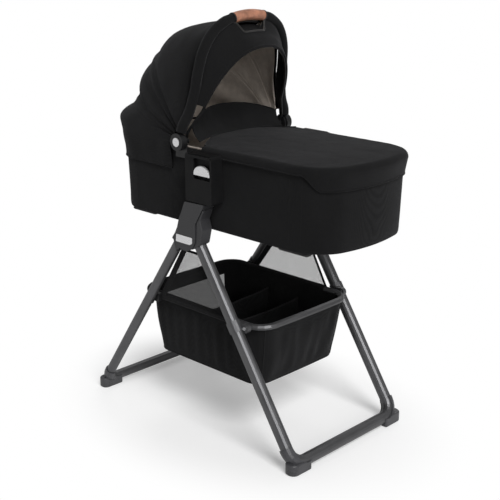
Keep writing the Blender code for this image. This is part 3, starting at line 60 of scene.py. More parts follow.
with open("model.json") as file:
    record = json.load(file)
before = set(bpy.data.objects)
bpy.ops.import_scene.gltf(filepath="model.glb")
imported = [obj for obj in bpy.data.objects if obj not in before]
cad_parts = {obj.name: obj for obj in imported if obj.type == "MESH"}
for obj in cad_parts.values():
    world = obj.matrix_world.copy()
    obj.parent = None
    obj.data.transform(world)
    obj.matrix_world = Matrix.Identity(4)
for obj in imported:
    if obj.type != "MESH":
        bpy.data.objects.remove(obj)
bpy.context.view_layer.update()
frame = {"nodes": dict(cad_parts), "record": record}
JOINTS = {joint["name"]: joint for joint in frame["record"]["behaviour"]["joints"]}
COUPLED = {item["joint"]: item["ratio"] for item in frame["record"]["behaviour"]["couplings"]}

# Places that the frame gives
HINGE = Vector(JOINTS["handle_fold"]["pos_m"])
FOLD = Vector(JOINTS["stand_fold"]["pos_m"])
COT_LOW, COT_HIGH = (Vector(corner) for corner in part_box("cot_shell"))
RING_LOW, RING_HIGH = (Vector(corner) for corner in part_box("basket_ring"))
BAG_LOW = Vector(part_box("basket_bag")[0])
MATTRESS_LOW, MATTRESS_HIGH = (Vector(corner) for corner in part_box("mattress"))
RING_Z = (RING_LOW.z + RING_HIGH.z) / 2.0
RING_R = (RING_HIGH.z - RING_LOW.z) / 2.0

# Stand
LEG_TOP = Vector((FOLD.x, 0.0, 0.665))
FLOOR_TUBE_Z = 0.0246
HEAD_FLOOR_X = -0.4477
FOOT_FLOOR_X = 0.4027
HEAD_TUBE_R = 0.0155
FOOT_TUBE_R = 0.0180
NET_TOP_Z = 0.574
NET_FOOT_Z = RING_Z - 0.002
NET_OUT_Y = RING_HIGH.y + 0.0016
NET_TOP_Y = 0.2285
HEAD_BINDING_W = 0.019
FOOT_BINDING_W = 0.008
NET_CLEAR = 0.0012  # from a leg's tube to the net's edge
NET_THREAD_R = 0.00042
NET_LOW_HEM = 0.010
NET_TOP_HEM = 0.008
TAPE_T = 0.0016
TAPE_LIFT = 0.0009

# Basket
RING_END_IN = 0.0138  # from the frame's head end in to its tube's line
RING_FOOT_OUT = 0.0001
BAG_LOW_HEAD_X = -0.2340
BAG_LOW_FOOT_X = 0.2091
BAG_LOW_HALF = 0.178
BAG_T = 0.0020
BAG_GAP = 0.0006  # from the frame's tube down to the bag's upper edge
BAG_CORNER_R = 0.045
BAG_BASE_R = 0.008
BAG_BASE_INSETS = (0.150, 0.11, 0.07, 0.035, 0.014)  # its bottom's rows, open inside the first one
RING_CORNER_R = 0.055
DIVIDER_TAPER = 0.045
DIVIDER_SAG = 0.010
WINDOW_HEAD_X = -0.19
WINDOW_HALF = 0.150
WINDOW_LOW_Z = 0.232
WINDOW_HIGH_Z = 0.352
CHANNEL_END_X = 0.150  # past which the frame's tube is bare

# Cot
COT_BOW = 0.012
FOOT_BULGE = 0.030  # how far the cloth's foot end rounds out past the frame, at its middle
COT_CORNER_R = 0.088
COT_BASE_R = 0.012
COT_BASE_INSETS = (0.185, 0.15, 0.11, 0.07, 0.035, 0.016)  # its bottom's rows, open inside the first one
SEAM_DEPTH = 0.0011
COT_FLARE_HEAD = 0.006
COT_FLARE_FOOT = 0.009
COT_FLARE_SIDE = 0.003
LINING_INSET = 0.0190  # from the outer cloth in to the lining of the cot
LINING_T = 0.0016
MATTRESS_GAP = 0.0065
COVER_RISE = 0.0115
COVER_EDGE_R = 0.018
COVER_FLARE = 0.0085  # lean of the skirt round the foot end, from its hem up to the edge
COVER_CROWN = 0.005
COVER_LEAN = 0.0052  # how far the cover lies outside the cot's outline
SEAM_IN = 0.085  # from the cot's ends in to its corner seams
COVER_START_X = 0.016
COVER_HEM_SIDE_Z = 0.866
COVER_HEM_END_Z = 0.824
COVER_WRAP_X = 0.392
FLAP_CREST_X = -0.070
FLAP_H = 0.075
FLAP_BOW = 0.046  # how far its foot bows toward the head end
FLAP_LEAN = 0.052  # how much further its upper edge leans

# Hood, as (lean forward of upright in degrees, radius, half width, power of the arch)
HOOD_STATIONS = (
    (10.0, 0.3310, 0.2035, 2.75),
    (-3.0, 0.3320, 0.2065, 2.75),
    (-18.0, 0.3345, 0.2090, 2.75),
    (-32.0, 0.3430, 0.2085, 2.75),
    (-46.0, 0.3365, 0.2055, 2.75),
    (-60.0, 0.3420, 0.2085, 2.85),
    (-74.0, 0.3395, 0.2060, 2.95),
    (-84.0, 0.3790, 0.2130, 4.0),
)
HOOD_START_R = 0.044
HOOD_SKIRT = ((0.886, 0.0115), (0.862, 0.0095), (0.836, 0.0062), (0.808, 0.0046))
HOOD_TUCK = 0.0150
MID_BOW_LEAN = -46.0
REAR_BOW_LEAN = -74.0
HANDLE_LEAN = 10.0
BOW_KEYS = (4, 6)  # rows of HOOD_STATIONS that lie on the two bows
HOOD_STILL_LEAN = -92.0  # where the hood no longer moves with the handle
VISOR_STATIONS = (
    (10.0, 0.3380, 0.1960, 2.80, 0.0080),
    (15.5, 0.3190, 0.1890, 2.60, 0.0020),
    (20.5, 0.3090, 0.1860, 2.45, 0.0),
    (26.0, 0.2985, 0.1800, 2.25, 0.0),
)
VISOR_START_R = 0.112
HANDLE_PROFILE = (
    (0.028, 0.2215), (0.050, 0.2150), (0.085, 0.1970), (0.140, 0.1840), (0.200, 0.1790), (0.260, 0.1680),
    (0.310, 0.1400), (0.340, 0.0980), (0.352, 0.0550), (0.357, 0.0),
)
HANDLE_INSET = 0.0080  # from the handle's centre line in to the hood cloth that hangs from it
SLEEVE_ACROSS = 0.0160
SLEEVE_THICK = 0.0148
GRIP_HALF = 0.067
GRIP_R = 0.0152
HOOD_LINING_INSET = 0.0190  # lining inside the outer cloth, clear of the bows
HOOD_LINING_EDGE_INSET = 0.0125  # the same at the handle
HOOD_LINING_T = 0.0014
HOLD_HALF = 0.0640  # half width of the hand hold below the grip
HOLD_DIP = 0.016  # how far the hood's edge dips there
HOLD_CUT = 0.34  # share of the visor that is cut away there
POCKET_T = 0.0012
POCKET_DROP = 0.022
POCKET_IN = 0.006  # from the visor's cut edge in to the pocket's front
VISOR_BEAD_R = 0.0042

# Middles that outward faces point away from, and the two ends of the hood's fold
COT_CENTRE = np.array((0.04, 0.0, 0.76))
BAG_CENTRE = np.array((0.0, 0.0, 0.28))
HOOD_CENTRE = np.array((HINGE.x - 0.12, 0.0, HINGE.z + 0.05))
VISOR_CENTRE = np.array((HINGE.x, 0.0, HINGE.z + 0.05))
HOOD_FOLD = (HINGE + Vector((-0.3, 0.0, 0.0)), HINGE + Vector((0.1, 0.0, 0.3)))
VISOR_FOLD = (HINGE + Vector((0.0, 0.0, 0.3)), HINGE + Vector((0.14, 0.0, 0.25)))

# Finishes of a black cloth: its weave, its bindings and its thread
BLACK = ("black_cloth", "binding", "thread")

# Camera, at the photograph's viewing point
CAMERA_AT = (2.1519, -2.21864, 1.50385)
CAMERA_PITCH = 17.527
CAMERA_TURN = 44.057
CAMERA_LENS = 74.94

# Stage: lamps as (name, turn in degrees from pointing down, strength, spread in degrees)
LAMPS = (
    ("key_light", (44.0, 0.0, 66.0), 2.0, 26.0),
    ("front_light", (72.0, 0.0, 74.0), 1.0, 30.0),
    ("back_light", (48.0, 0.0, 210.0), 0.30, 30.0),
)
SKY_STRENGTH = 0.24
FLOOR_GLOW = 0.24
FLOOR_REACH = 40.0
FLOOR_DROP = 0.0005  # below the soles, so that they don't touch it
SHADOW_HALF_X = 0.60
SHADOW_HALF_Y = 0.44
SHADOW_FADE = (0.72, 1.30)  # shares of those, where the floor begins to turn white and where it has


def colour_setting(name, description, default):
    return FloatVectorProperty(
        name=name, description=description, subtype="COLOR", size=3, default=default, min=0.0, max=1.0)


def length_setting(name, description, default, low, high):
    return FloatProperty(
        name=name, description=description, subtype="DISTANCE", unit="LENGTH", default=default, min=low, max=high)


class BassinetLooks(bpy.types.PropertyGroup):
    cloth_colour: colour_setting("Outer cloth", "Colour of the black woven cloth", (0.0068, 0.0068, 0.0071))
    lining_colour: colour_setting("Lining", "Colour of the knitted lining", (0.430, 0.375, 0.325))
    leather_colour: colour_setting("Leather", "Colour of the wrapped grip", (0.370, 0.165, 0.100))
    paint_colour: colour_setting("Frame paint", "Colour of the coated tubes", (0.118, 0.118, 0.122))
    hub_colour: colour_setting("Hub plastic", "Colour of the hubs' moulded covers", (0.026, 0.026, 0.028))
    plastic_colour: colour_setting("Black plastic", "Colour of the small moulded pieces", (0.0075, 0.0075, 0.0080))
    silver_colour: colour_setting("Bright trim", "Colour of the buttons, caps and plates", (0.80, 0.80, 0.81))
    cloth_t: length_setting("Cloth thickness", "Thickness of the outer cloth", 0.0022, 0.0005, 0.006)
    piping_r: length_setting("Piping radius", "Radius of the sewn edge piping", 0.0019, 0.0005, 0.006)
    net_pitch: length_setting("Net pitch", "Distance between the net's threads", 0.0022, 0.001, 0.02)
    stitch_l: length_setting("Stitch length", "Length of one visible stitch", 0.0036, 0.001, 0.02)
    wrinkle: length_setting("Wrinkle depth", "Depth of the soft wrinkles in the outer cloth", 0.0016, 0.0, 0.01)


def looks():
    """The settings that the panel shows."""
    return bpy.context.scene.bassinet_looks


# Lines and grids of points

def resample(points, count, closed=False):
    """Points evenly spaced along a line."""
    line = np.array([tuple(p) for p in points], float)
    if closed:
        line = np.vstack([line, line[:1]])
    along = np.concatenate([[0.0], np.cumsum(np.linalg.norm(np.diff(line, axis=0), axis=1))])
    places = np.linspace(0.0, along[-1], count, endpoint=not closed)
    return np.stack([np.interp(places, along, line[:, axis]) for axis in range(line.shape[1])], axis=1)


def catmull(p0, p1, p2, p3, t):
    """A point on the smooth curve from p1 to p2, which p0 and p3 steer."""
    return 0.5 * (2.0 * p1 + (p2 - p0) * t + (2.0 * p0 - 5.0 * p1 + 4.0 * p2 - p3) * t ** 2
                  + (3.0 * p1 - p0 - 3.0 * p2 + p3) * t ** 3)


def smooth_rows(keys, per_span):
    """Rows of points on smooth curves through key rows."""
    keys = np.array(keys, float)
    last = len(keys) - 1
    rows = []
    for index in range(last):
        around = [keys[min(max(index + step, 0), last)] for step in (-1, 0, 1, 2)]
        rows += [catmull(*around, step / per_span) for step in range(per_span)]
    rows.append(keys[-1])
    return np.array(rows)


def linear_rows(keys, per_span):
    """Values that run straight between key values."""
    keys = np.array(keys, float)
    steps = np.linspace(0.0, len(keys) - 1.0, (len(keys) - 1) * per_span + 1)
    return np.interp(steps, np.arange(len(keys)), keys)


def smooth_line(points, per_span=8):
    """Points on a smooth curve through a few given ones."""
    return smooth_rows([np.array(tuple(p), float) for p in points], per_span)


def unit(vectors):
    """Vectors of length one, in the directions of the given ones."""
    return vectors / np.maximum(np.linalg.norm(vectors, axis=-1, keepdims=True), 1e-12)


def raised(points, rise):
    """Points moved up, all by one rise or each by its own."""
    moved = np.array(points, float)
    moved[..., 2] += rise
    return moved


def mirrored(half):
    """A line of (radius, side) points from the far side, over its last point, to the near side."""
    return half + [(r, -y) for r, y in reversed(half[:-1])]


def ring_faces(count, sides, closed=False):
    """Faces that join rings of points one after another."""
    return [(i * sides + j, i * sides + (j + 1) % sides, (i + 1) % count * sides + (j + 1) % sides,
             (i + 1) % count * sides + j)
            for i in range(count if closed else count - 1) for j in range(sides)]


def normals_of(grid, wrap=False):
    """Unit normals of a grid of points, whose columns may close into a ring."""
    if wrap:
        across = np.roll(grid, -1, axis=1) - np.roll(grid, 1, axis=1)
    else:
        across = np.gradient(grid, axis=1)
    down = np.gradient(grid, axis=0)
    return unit(np.cross(across, down))


def bumps(grid, scale, seed):
    """Smooth noise from -1 to 1 at each point of a grid; scale is a number or one for each axis."""
    shape = grid.shape[:-1]
    stretched = grid.reshape(-1, 3) * np.broadcast_to(np.array(scale, float), (3,))
    values = [noise.noise(Vector(p) + Vector((seed, seed * 0.37, -seed))) for p in stretched]
    return np.array(values).reshape(shape)


def fade(value, low, high):
    """0 below low, 1 above high, and a smooth step between."""
    t = np.clip((np.asarray(value, float) - low) / (high - low), 0.0, 1.0)
    return t * t * (3.0 - 2.0 * t)


class Cloth:
    """Gathers shells, tubes and stitches into one mesh, each point with its share of a fold."""

    def __init__(self):
        self.points = []
        self.faces = []
        self.shares = []
        self.slots = []

    def add(self, points, faces, shares=0.0, slot=0):
        """Adds points and the faces between them."""
        base = len(self.points)
        self.points += [tuple(p) for p in points]
        self.faces += [tuple(base + corner for corner in face) for face in faces]
        self.shares += list(np.broadcast_to(np.asarray(shares, float), (len(points),)))
        self.slots += [slot] * len(faces)

    def shell(self, grid, thickness, wrap=False, shares=0.0, keep=None, slot=0, lift=0.0):
        """A sheet of cloth whose outer face lies lift outside a grid; keep says which of its squares there are."""
        rows, columns = grid.shape[:2]
        normal = normals_of(grid, wrap)
        points = np.concatenate([
            (grid + normal * lift).reshape(-1, 3), (grid + normal * (lift - thickness)).reshape(-1, 3)])
        spans = columns if wrap else columns - 1
        if keep is None:
            keep = np.ones((rows - 1, spans), bool)
        back = rows * columns
        faces = []

        def at(i, j):
            return i * columns + j % columns

        for i in range(rows - 1):
            for j in range(spans):
                if not keep[i, j]:
                    continue
                ring = (at(i, j), at(i, j + 1), at(i + 1, j + 1), at(i + 1, j))
                faces.append(ring)
                faces.append(tuple(back + corner for corner in reversed(ring)))
                beside = (
                    i > 0 and keep[i - 1, j],
                    (wrap or j < spans - 1) and keep[i, (j + 1) % spans],
                    i < rows - 2 and keep[i + 1, j],
                    (wrap or j > 0) and keep[i, (j - 1) % spans])
                for side, present in enumerate(beside):
                    if not present:
                        a, b = ring[side], ring[(side + 1) % 4]
                        faces.append((b, a, back + a, back + b))
        share = np.broadcast_to(np.asarray(shares, float), (rows, columns)).reshape(-1)
        self.add(points, faces, np.concatenate([share, share]), slot)
        return grid + normal * lift, normal

    def tube(self, path, radius, sides=8, closed=False, shares=0.0, slot=0, across=None, flat=1.0):
        """A round or flattened tube along a path; across sets the direction of its wide side."""
        path = np.asarray(path, float)
        count = len(path)
        if closed:
            ahead = np.roll(path, -1, axis=0) - np.roll(path, 1, axis=0)
        else:
            ahead = np.gradient(path, axis=0)
        ahead = unit(ahead)
        if across is None:
            across = carried_sides(ahead)
        else:
            across = np.broadcast_to(np.asarray(across, float), path.shape)
            across = unit(across - ahead * (across * ahead).sum(axis=1, keepdims=True))
        out = np.cross(ahead, across)
        radii = np.broadcast_to(np.asarray(radius, float), (count,))
        angles = np.linspace(0.0, 2.0 * math.pi, sides, endpoint=False)
        points = [
            path[i] + radii[i] * (across[i] * math.cos(a) + out[i] * math.sin(a) * flat)
            for i in range(count) for a in angles]
        faces = ring_faces(count, sides, closed)
        if not closed:
            faces.append(tuple(range(sides)))
            faces.append(tuple((count - 1) * sides + j for j in reversed(range(sides))))
        share = np.repeat(np.broadcast_to(np.asarray(shares, float), (count,)), sides)
        self.add(points, faces, share, slot)

    def stitches(self, path, normal, shares=0.0, slot=0, gap=0.45, width=0.0008, rise=0.0005):
        """A row of short raised stitches along a path that lies on a cloth."""
        path = np.asarray(path, float)
        normal = np.broadcast_to(np.asarray(normal, float), path.shape)
        steps = np.linalg.norm(np.diff(path, axis=0), axis=1)
        length = steps.sum()
        count = max(2, int(length / (looks().stitch_l * (1.0 + gap))))
        share = np.broadcast_to(np.asarray(shares, float), (len(path),))
        data = np.concatenate([path, normal, share[:, None]], axis=1)
        along = np.concatenate([[0.0], np.cumsum(steps)])

        def read(place):
            return np.array([np.interp(place, along, data[:, k]) for k in range(7)])

        for index in range(count):
            start = (index + 0.5 * gap / (1.0 + gap)) * length / count
            first = read(start)
            last = read(start + looks().stitch_l)
            run = last[:3] - first[:3]
            side = np.cross(run, first[3:6])
            size = np.linalg.norm(side)
            if size < 1e-9:
                continue
            side = side / size * width / 2.0
            up = first[3:6] / max(np.linalg.norm(first[3:6]), 1e-9) * rise
            middle = (first[:3] + last[:3]) / 2.0 + up
            points = [
                first[:3] - up * 0.6, middle - side, last[:3] - up * 0.6, middle + side, middle + up * 0.5,
                middle - up * 2.2]
            faces = [(0, 1, 4), (1, 2, 4), (2, 3, 4), (3, 0, 4), (1, 0, 5), (2, 1, 5), (3, 2, 5), (0, 3, 5)]
            self.add(points, faces, first[6], slot)

    def make(self, name, materials):
        """Makes an object of all that was gathered."""
        mesh = bpy.data.meshes.new(name)
        mesh.from_pydata(self.points, [], self.faces)
        mesh.validate()
        for surface in materials:
            mesh.materials.append(surface)
        if len(mesh.polygons) == len(self.slots):
            mesh.polygons.foreach_set("material_index", self.slots)
        mesh.shade_smooth()
        mesh.set_sharp_from_angle(angle=math.radians(50.0))
        item = bpy.data.objects.new(name, mesh)
        bpy.context.scene.collection.objects.link(item)
        return item


def carried_sides(ahead):
    """Cross directions carried along a path without twist."""
    seed = np.array((0.0, 0.0, 1.0))
    if abs(ahead[0] @ seed) > 0.9:
        seed = np.array((0.0, 1.0, 0.0))
    side = np.cross(ahead[0], seed)
    sides = []
    for step in ahead:
        side = side - step * (side @ step)
        side = side / max(np.linalg.norm(side), 1e-12)
        sides.append(side)
    return np.array(sides)


def set_shares(item, body_a, body_b, start, end, shares):
    """Bakes the cloth's placement into its own mesh."""
    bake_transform(item)


def cloth_area(grid, wrap=False):
    """Area of a grid's squares."""
    if wrap:
        grid = np.concatenate([grid, grid[:, :1]], axis=1)
    a, b = grid[:-1, :-1], grid[:-1, 1:]
    c, d = grid[1:, 1:], grid[1:, :-1]
    return float((np.linalg.norm(np.cross(c - a, d - b), axis=2) / 2.0).sum())


def longest(grid, axis):
    """Length of a grid's longest column (axis 0) or row (axis 1), measured along the cloth."""
    steps = np.linalg.norm(np.diff(grid, axis=axis), axis=2)
    return float(steps.sum(axis=axis).max())


def declare_sheet(grid, wrap=False, sewn_on=None):
    """Measures a cloth's longest column and its area, with what is sewn on; the results are not kept."""
    width, area = longest(grid, 0), cloth_area(grid, wrap)
    if sewn_on is not None:
        width += longest(sewn_on, 0)
        area += cloth_area(sewn_on)


def put(cloth, name, kinds, body, replaced):
    """Makes a soft piece that rides a body in place of the frame's plain solid."""
    item = cloth.make(name, [finish(kind) for kind in kinds])
    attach(item, body)
    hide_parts(replaced)
    return item


# Finishes

def set_sockets(node, **values):
    """Gives values to a node's sockets, whose names have a space where a keyword has a line."""
    for name, value in values.items():
        node.inputs[name.replace("_", " ")].default_value = value
    return node


def maths(nodes, links, operation, first, second):
    """One sum of two values, each a number or a socket."""
    node = nodes.new("ShaderNodeMath")
    node.operation = operation
    for socket, value in zip(node.inputs, (first, second)):
        if isinstance(value, (int, float)):
            socket.default_value = value
        else:
            links.new(value, socket)
    return node.outputs[0]


def grey(value):
    """A colour with three equal channels."""
    return (value, value, value)


def scaled(colour, factor):
    """A lighter or darker colour."""
    return tuple(min(1.0, channel * factor) for channel in colour)


class Surface:
    """A finish in the making: its nodes, its shader, and the object's own coordinates for its patterns."""

    def __init__(self, name, colour, roughness, metallic=0.0):
        self.made = bpy.data.materials.new(name)
        self.made.use_nodes = True
        self.made.diffuse_color = (*colour, 1.0)
        self.nodes = self.made.node_tree.nodes
        self.links = self.made.node_tree.links
        self.shader = self.nodes["Principled BSDF"]
        set_sockets(self.shader, Base_Color=(*colour, 1.0), Roughness=roughness, Metallic=metallic)
        self.where = self.nodes.new("ShaderNodeTexCoord").outputs["Object"]

    def noise(self, scale, detail, roughness, where=None):
        """Height of a soft noise pattern."""
        node = set_sockets(self.nodes.new("ShaderNodeTexNoise"), Scale=scale, Detail=detail, Roughness=roughness)
        self.links.new(where or self.where, node.inputs["Vector"])
        return node.outputs["Fac"]

    def weave(self, pitch):
        """Height of a plain weave: threads crossing along the three axes."""
        waves = []
        for axis in "XYZ":
            wave = self.nodes.new("ShaderNodeTexWave")
            wave.wave_type = "BANDS"
            wave.bands_direction = axis
            set_sockets(wave, Scale=0.314 / pitch, Distortion=0.6, Detail=1.0, Detail_Scale=1.2)
            self.links.new(self.where, wave.inputs["Vector"])
            waves.append(wave.outputs["Fac"])
        return self.maths("MAXIMUM", self.maths("MAXIMUM", waves[0], waves[1]), waves[2])

    def stretched(self, scale):
        """The object's coordinates, stretched along each axis."""
        node = set_sockets(self.nodes.new("ShaderNodeMapping"), Scale=scale)
        self.links.new(self.where, node.inputs["Vector"])
        return node.outputs["Vector"]

    def maths(self, operation, first, second):
        return maths(self.nodes, self.links, operation, first, second)

    def vary(self, socket, factor, low, high, start=0.3, end=0.7):
        """Runs a socket of the shader from low to high as the factor runs from start to end."""
        node = self.nodes.new("ShaderNodeValToRGB")
        for element, place, colour in zip(node.color_ramp.elements, (start, end), (low, high)):
            element.position = place
            element.color = (*colour, 1.0)
        self.links.new(factor, node.inputs["Fac"])
        self.links.new(node.outputs["Color"], self.shader.inputs[socket])

    def bump(self, height, distance, strength):
        """Puts a height into the shader's relief."""
        node = set_sockets(self.nodes.new("ShaderNodeBump"), Distance=distance, Strength=strength)
        self.links.new(height, node.inputs["Height"])
        self.links.new(node.outputs["Normal"], self.shader.inputs["Normal"])


def woven_cloth(name, colour, pitch=0.0012, melange=0.45, sheen=0.09):
    """Woven cloth with flecked yarns, a weave in relief and soft fuzz at grazing angles."""
    cloth = Surface(name, colour, 0.92)
    weave = cloth.weave(pitch)
    flecks = cloth.noise(520.0, 2.0, 0.7)
    broad = cloth.noise(9.0, 3.0, 0.5)
    mixed = cloth.maths("ADD", cloth.maths("MULTIPLY", flecks, 0.7), cloth.maths("MULTIPLY", broad, 0.3))
    cloth.vary("Base Color", mixed, scaled(colour, 1.0 - melange), scaled(colour, 1.0 + melange), 0.32, 0.68)
    set_sockets(cloth.shader, Sheen_Weight=sheen, Sheen_Roughness=0.45, Sheen_Tint=(0.75, 0.75, 0.78, 1.0),
                Specular_IOR_Level=0.12)
    cloth.bump(cloth.maths("ADD", weave, cloth.maths("MULTIPLY", flecks, 0.8)), 0.00035, 0.7)
    return cloth.made


def open_net(name, colour):
    """Fine net, so close that a glance sees it as a grey veil."""
    net = Surface(name, colour, 0.9)
    net.vary("Alpha", net.noise(300.0, 2.0, 0.6), grey(0.46), grey(0.60))
    set_sockets(net.shader, Specular_IOR_Level=0.1)
    return net.made


def knit_lining(name, colour):
    """Soft knitted lining with a fine rib."""
    knit = Surface(name, colour, 0.95)
    rib = knit.weave(0.0017)
    mottle = knit.noise(60.0, 4.0, 0.6)
    knit.vary("Base Color", mottle, scaled(colour, 0.86), scaled(colour, 1.10))
    set_sockets(knit.shader, Sheen_Weight=0.25, Sheen_Roughness=0.5, Specular_IOR_Level=0.2)
    knit.bump(knit.maths("ADD", rib, mottle), 0.0004, 0.6)
    return knit.made


def tan_leather(name, colour):
    """Wrapped leather: pores, creases and rubbed patches."""
    hide = Surface(name, colour, 0.5)
    patches = hide.noise(34.0, 5.0, 0.62)
    hide.vary("Base Color", patches, scaled(colour, 0.62), scaled(colour, 1.45), 0.30, 0.72)
    pores = set_sockets(hide.nodes.new("ShaderNodeTexVoronoi"), Scale=620.0)
    pores.feature = "DISTANCE_TO_EDGE"
    hide.links.new(hide.where, pores.inputs["Vector"])
    grain = hide.maths("MINIMUM", hide.maths("MULTIPLY", pores.outputs["Distance"], 4.0), 0.5)
    hide.vary("Roughness", patches, grey(0.58), grey(0.36))
    set_sockets(hide.shader, Specular_IOR_Level=0.45)
    hide.bump(hide.maths("ADD", grain, patches), 0.0004, 0.8)
    return hide.made


def coated_metal(name, colour):
    """Powder-coated tube with a fine orange peel and slightly rubbed tone."""
    paint = Surface(name, colour, 0.42, 0.80)
    peel = paint.noise(900.0, 2.0, 0.5)
    wear = paint.noise(14.0, 4.0, 0.6)
    paint.vary("Base Color", wear, scaled(colour, 0.90), scaled(colour, 1.12))
    paint.vary("Roughness", wear, grey(0.38), grey(0.47))
    paint.bump(peel, 0.00012, 0.5)
    return paint.made


def moulded_plastic(name, colour, roughness=0.46, grain=700.0, gloss=0.42):
    """Moulded plastic with a spark-eroded texture."""
    plastic = Surface(name, colour, roughness)
    set_sockets(plastic.shader, Specular_IOR_Level=gloss)
    texture = plastic.noise(grain, 3.0, 0.6)
    wear = plastic.noise(22.0, 4.0, 0.6)
    plastic.vary("Base Color", wear, scaled(colour, 0.88), scaled(colour, 1.14))
    plastic.vary("Roughness", wear, grey(roughness - 0.05), grey(roughness + 0.07))
    plastic.bump(texture, 0.00020, 0.6)
    return plastic.made


def satin_trim(name, colour):
    """Satin plated trim with faint brushing."""
    trim = Surface(name, colour, 0.30, 0.85)
    lines = trim.noise(1.0, 3.0, 0.6, trim.stretched((30.0, 30.0, 1500.0)))
    trim.vary("Base Color", lines, scaled(colour, 0.92), scaled(colour, 1.05))
    trim.vary("Roughness", lines, grey(0.24), grey(0.36))
    trim.bump(lines, 0.00005, 0.4)
    return trim.made


FINISHES = {}


def finish(kind):
    """Each finish is made once and shared."""
    if kind not in FINISHES:
        chosen = looks()
        black, hub, plastic = (tuple(c) for c in (chosen.cloth_colour, chosen.hub_colour, chosen.plastic_colour))
        makers = {
            "black_cloth": lambda: woven_cloth("black_cloth", black),
            "binding": lambda: woven_cloth("binding_tape", scaled(black, 0.8), 0.0008, 0.2, 0.1),
            "open_net": lambda: open_net("open_net", scaled(black, 2.0)),
            # A lighter thread: the side nets' own thread colour, and a painted highlight along the dividers' top
            # piping
            "net_thread_and_painted_highlight": lambda: woven_cloth("net_thread_and_painted_highlight", scaled(black, 2.2), 0.0005, 0.2, 0.1),
            "lining": lambda: knit_lining("knit_lining", tuple(chosen.lining_colour)),
            "hold_edge": lambda: knit_lining("hold_edge", (0.022, 0.021, 0.020)),
            "leather": lambda: tan_leather("tan_leather", tuple(chosen.leather_colour)),
            "thread": lambda: woven_cloth("sewing_thread", (0.020, 0.019, 0.019), 0.0004, 0.2, 0.1),
            "tan_thread": lambda: woven_cloth("tan_thread", (0.42, 0.26, 0.15), 0.0004, 0.2, 0.1),
            "paint": lambda: coated_metal("coated_tube", tuple(chosen.paint_colour)),
            "hub": lambda: moulded_plastic("hub_plastic", hub, 0.40),
            "plastic": lambda: moulded_plastic("black_plastic", plastic, 0.42),
            "boot": lambda: moulded_plastic("boot_plastic", scaled(hub, 1.9), 0.30),
            "adapter": lambda: moulded_plastic("adapter_plastic", scaled(plastic, 0.7), 0.56, 500.0, 0.16),
            "rubber": lambda: moulded_plastic("soft_pads", (0.020, 0.020, 0.021), 0.7, 400.0),
            "silver": lambda: satin_trim("satin_trim", tuple(chosen.silver_colour)),
        }
        FINISHES[kind] = makers[kind]()
    return FINISHES[kind]


def dress(kind, *nodes):
    """Gives a finish to pieces of the fixed frame."""
    for name in nodes:
        item = frame["nodes"][name]
        if not item.material_slots:
            item.data.materials.append(None)
        for place in item.material_slots:
            place.material = finish(kind)


# Outlines that several pieces share

def plan_outline(head_x, foot_x, half_w, corner_r, z, bow, count, bulge=0.0):
    """Rounded rectangle seen from above with bowed ends, from the middle of the near side round by the foot."""
    corners = (
        (foot_x - corner_r, corner_r - half_w, -90.0), (foot_x - corner_r, half_w - corner_r, 0.0),
        (head_x + corner_r, half_w - corner_r, 90.0), (head_x + corner_r, corner_r - half_w, 180.0))
    middle = (head_x + foot_x) / 2.0
    points = [(middle, -half_w)]
    for x, y, start in corners:
        for step in range(25):
            angle = math.radians(start + 90.0 * step / 24.0)
            points.append((x + corner_r * math.cos(angle), y + corner_r * math.sin(angle)))
    ring = resample([(x, y, z) for x, y in points], count * 3, closed=True)
    reach = np.abs(ring[:, 0] - middle) / ((foot_x - head_x) / 2.0)
    push = bow * (1.0 - (ring[:, 1] / half_w) ** 2) * np.maximum(0.0, reach - 0.55) / 0.45
    ring[:, 0] += np.copysign(push, ring[:, 0] - middle)
    ring[:, 0] += bulge * (1.0 - (ring[:, 1] / half_w) ** 2) * fade(ring[:, 0], foot_x - 0.22, foot_x)
    return resample(ring, count, closed=True)


def cot_outline(z, out=0.0, count=200, at_z=None, bulge=0.0):
    """The cot's outline at height z, grown outward."""
    t = (z - COT_LOW.z) / (COT_HIGH.z - COT_LOW.z)
    head = COT_LOW.x + COT_FLARE_HEAD * (1.0 - t) - out + COT_BOW
    foot = COT_HIGH.x - COT_FLARE_FOOT * (1.0 - t) + out - COT_BOW
    half = COT_HIGH.y - COT_FLARE_SIDE * (1.0 - t) + out
    corner = min(max(COT_CORNER_R + out, half * 0.42), half * 0.98)
    return plan_outline(head, foot, half, corner, z if at_z is None else at_z, COT_BOW, count, bulge)


def hinge_point(lean, radius, y):
    """A point at a radius from the hood's hinge, in a plane leaning forward of upright."""
    angle = math.radians(lean)
    return (HINGE.x + radius * math.sin(angle), y, HINGE.z + radius * math.cos(angle))


def hood_section(lean, radius, half_w, power, start_r, shift, count):
    """An arch from the far hinge over to the near one, moved aside by a shift toward the foot end."""
    first = math.asin((start_r / radius) ** (power / 2.0))
    angle = math.radians(lean)
    points = []
    for step in range(121):
        turn = first + (math.pi - 2.0 * first) * step / 120.0
        c, s = math.cos(turn), math.sin(turn)
        y = half_w * math.copysign(abs(c) ** (2.0 / power), c)
        x, y, z = hinge_point(lean, radius * abs(s) ** (2.0 / power), y)
        points.append((x + shift * math.cos(angle), y, z - shift * math.sin(angle)))
    return resample(points, count)


def beside_handle(inset, start_r, shift, count):
    """The handle's line drawn in by an inset and moved aside by a shift toward the foot end, far side to near."""
    angle = math.radians(HANDLE_LEAN)
    half = [(start_r, float(np.interp(start_r, *zip(*HANDLE_PROFILE))) - inset)]
    half += [(r - inset * fade(r, 0.15, 0.33), y - inset * (1.0 - fade(r, 0.31, 0.357)))
             for r, y in HANDLE_PROFILE if r > start_r + 0.015]
    points = []
    for r, y in mirrored(half):
        x, y, z = hinge_point(HANDLE_LEAN, r, y)
        points.append((x + shift * math.cos(angle), y, z - shift * math.sin(angle)))
    return resample(smooth_line(points, 10), count)


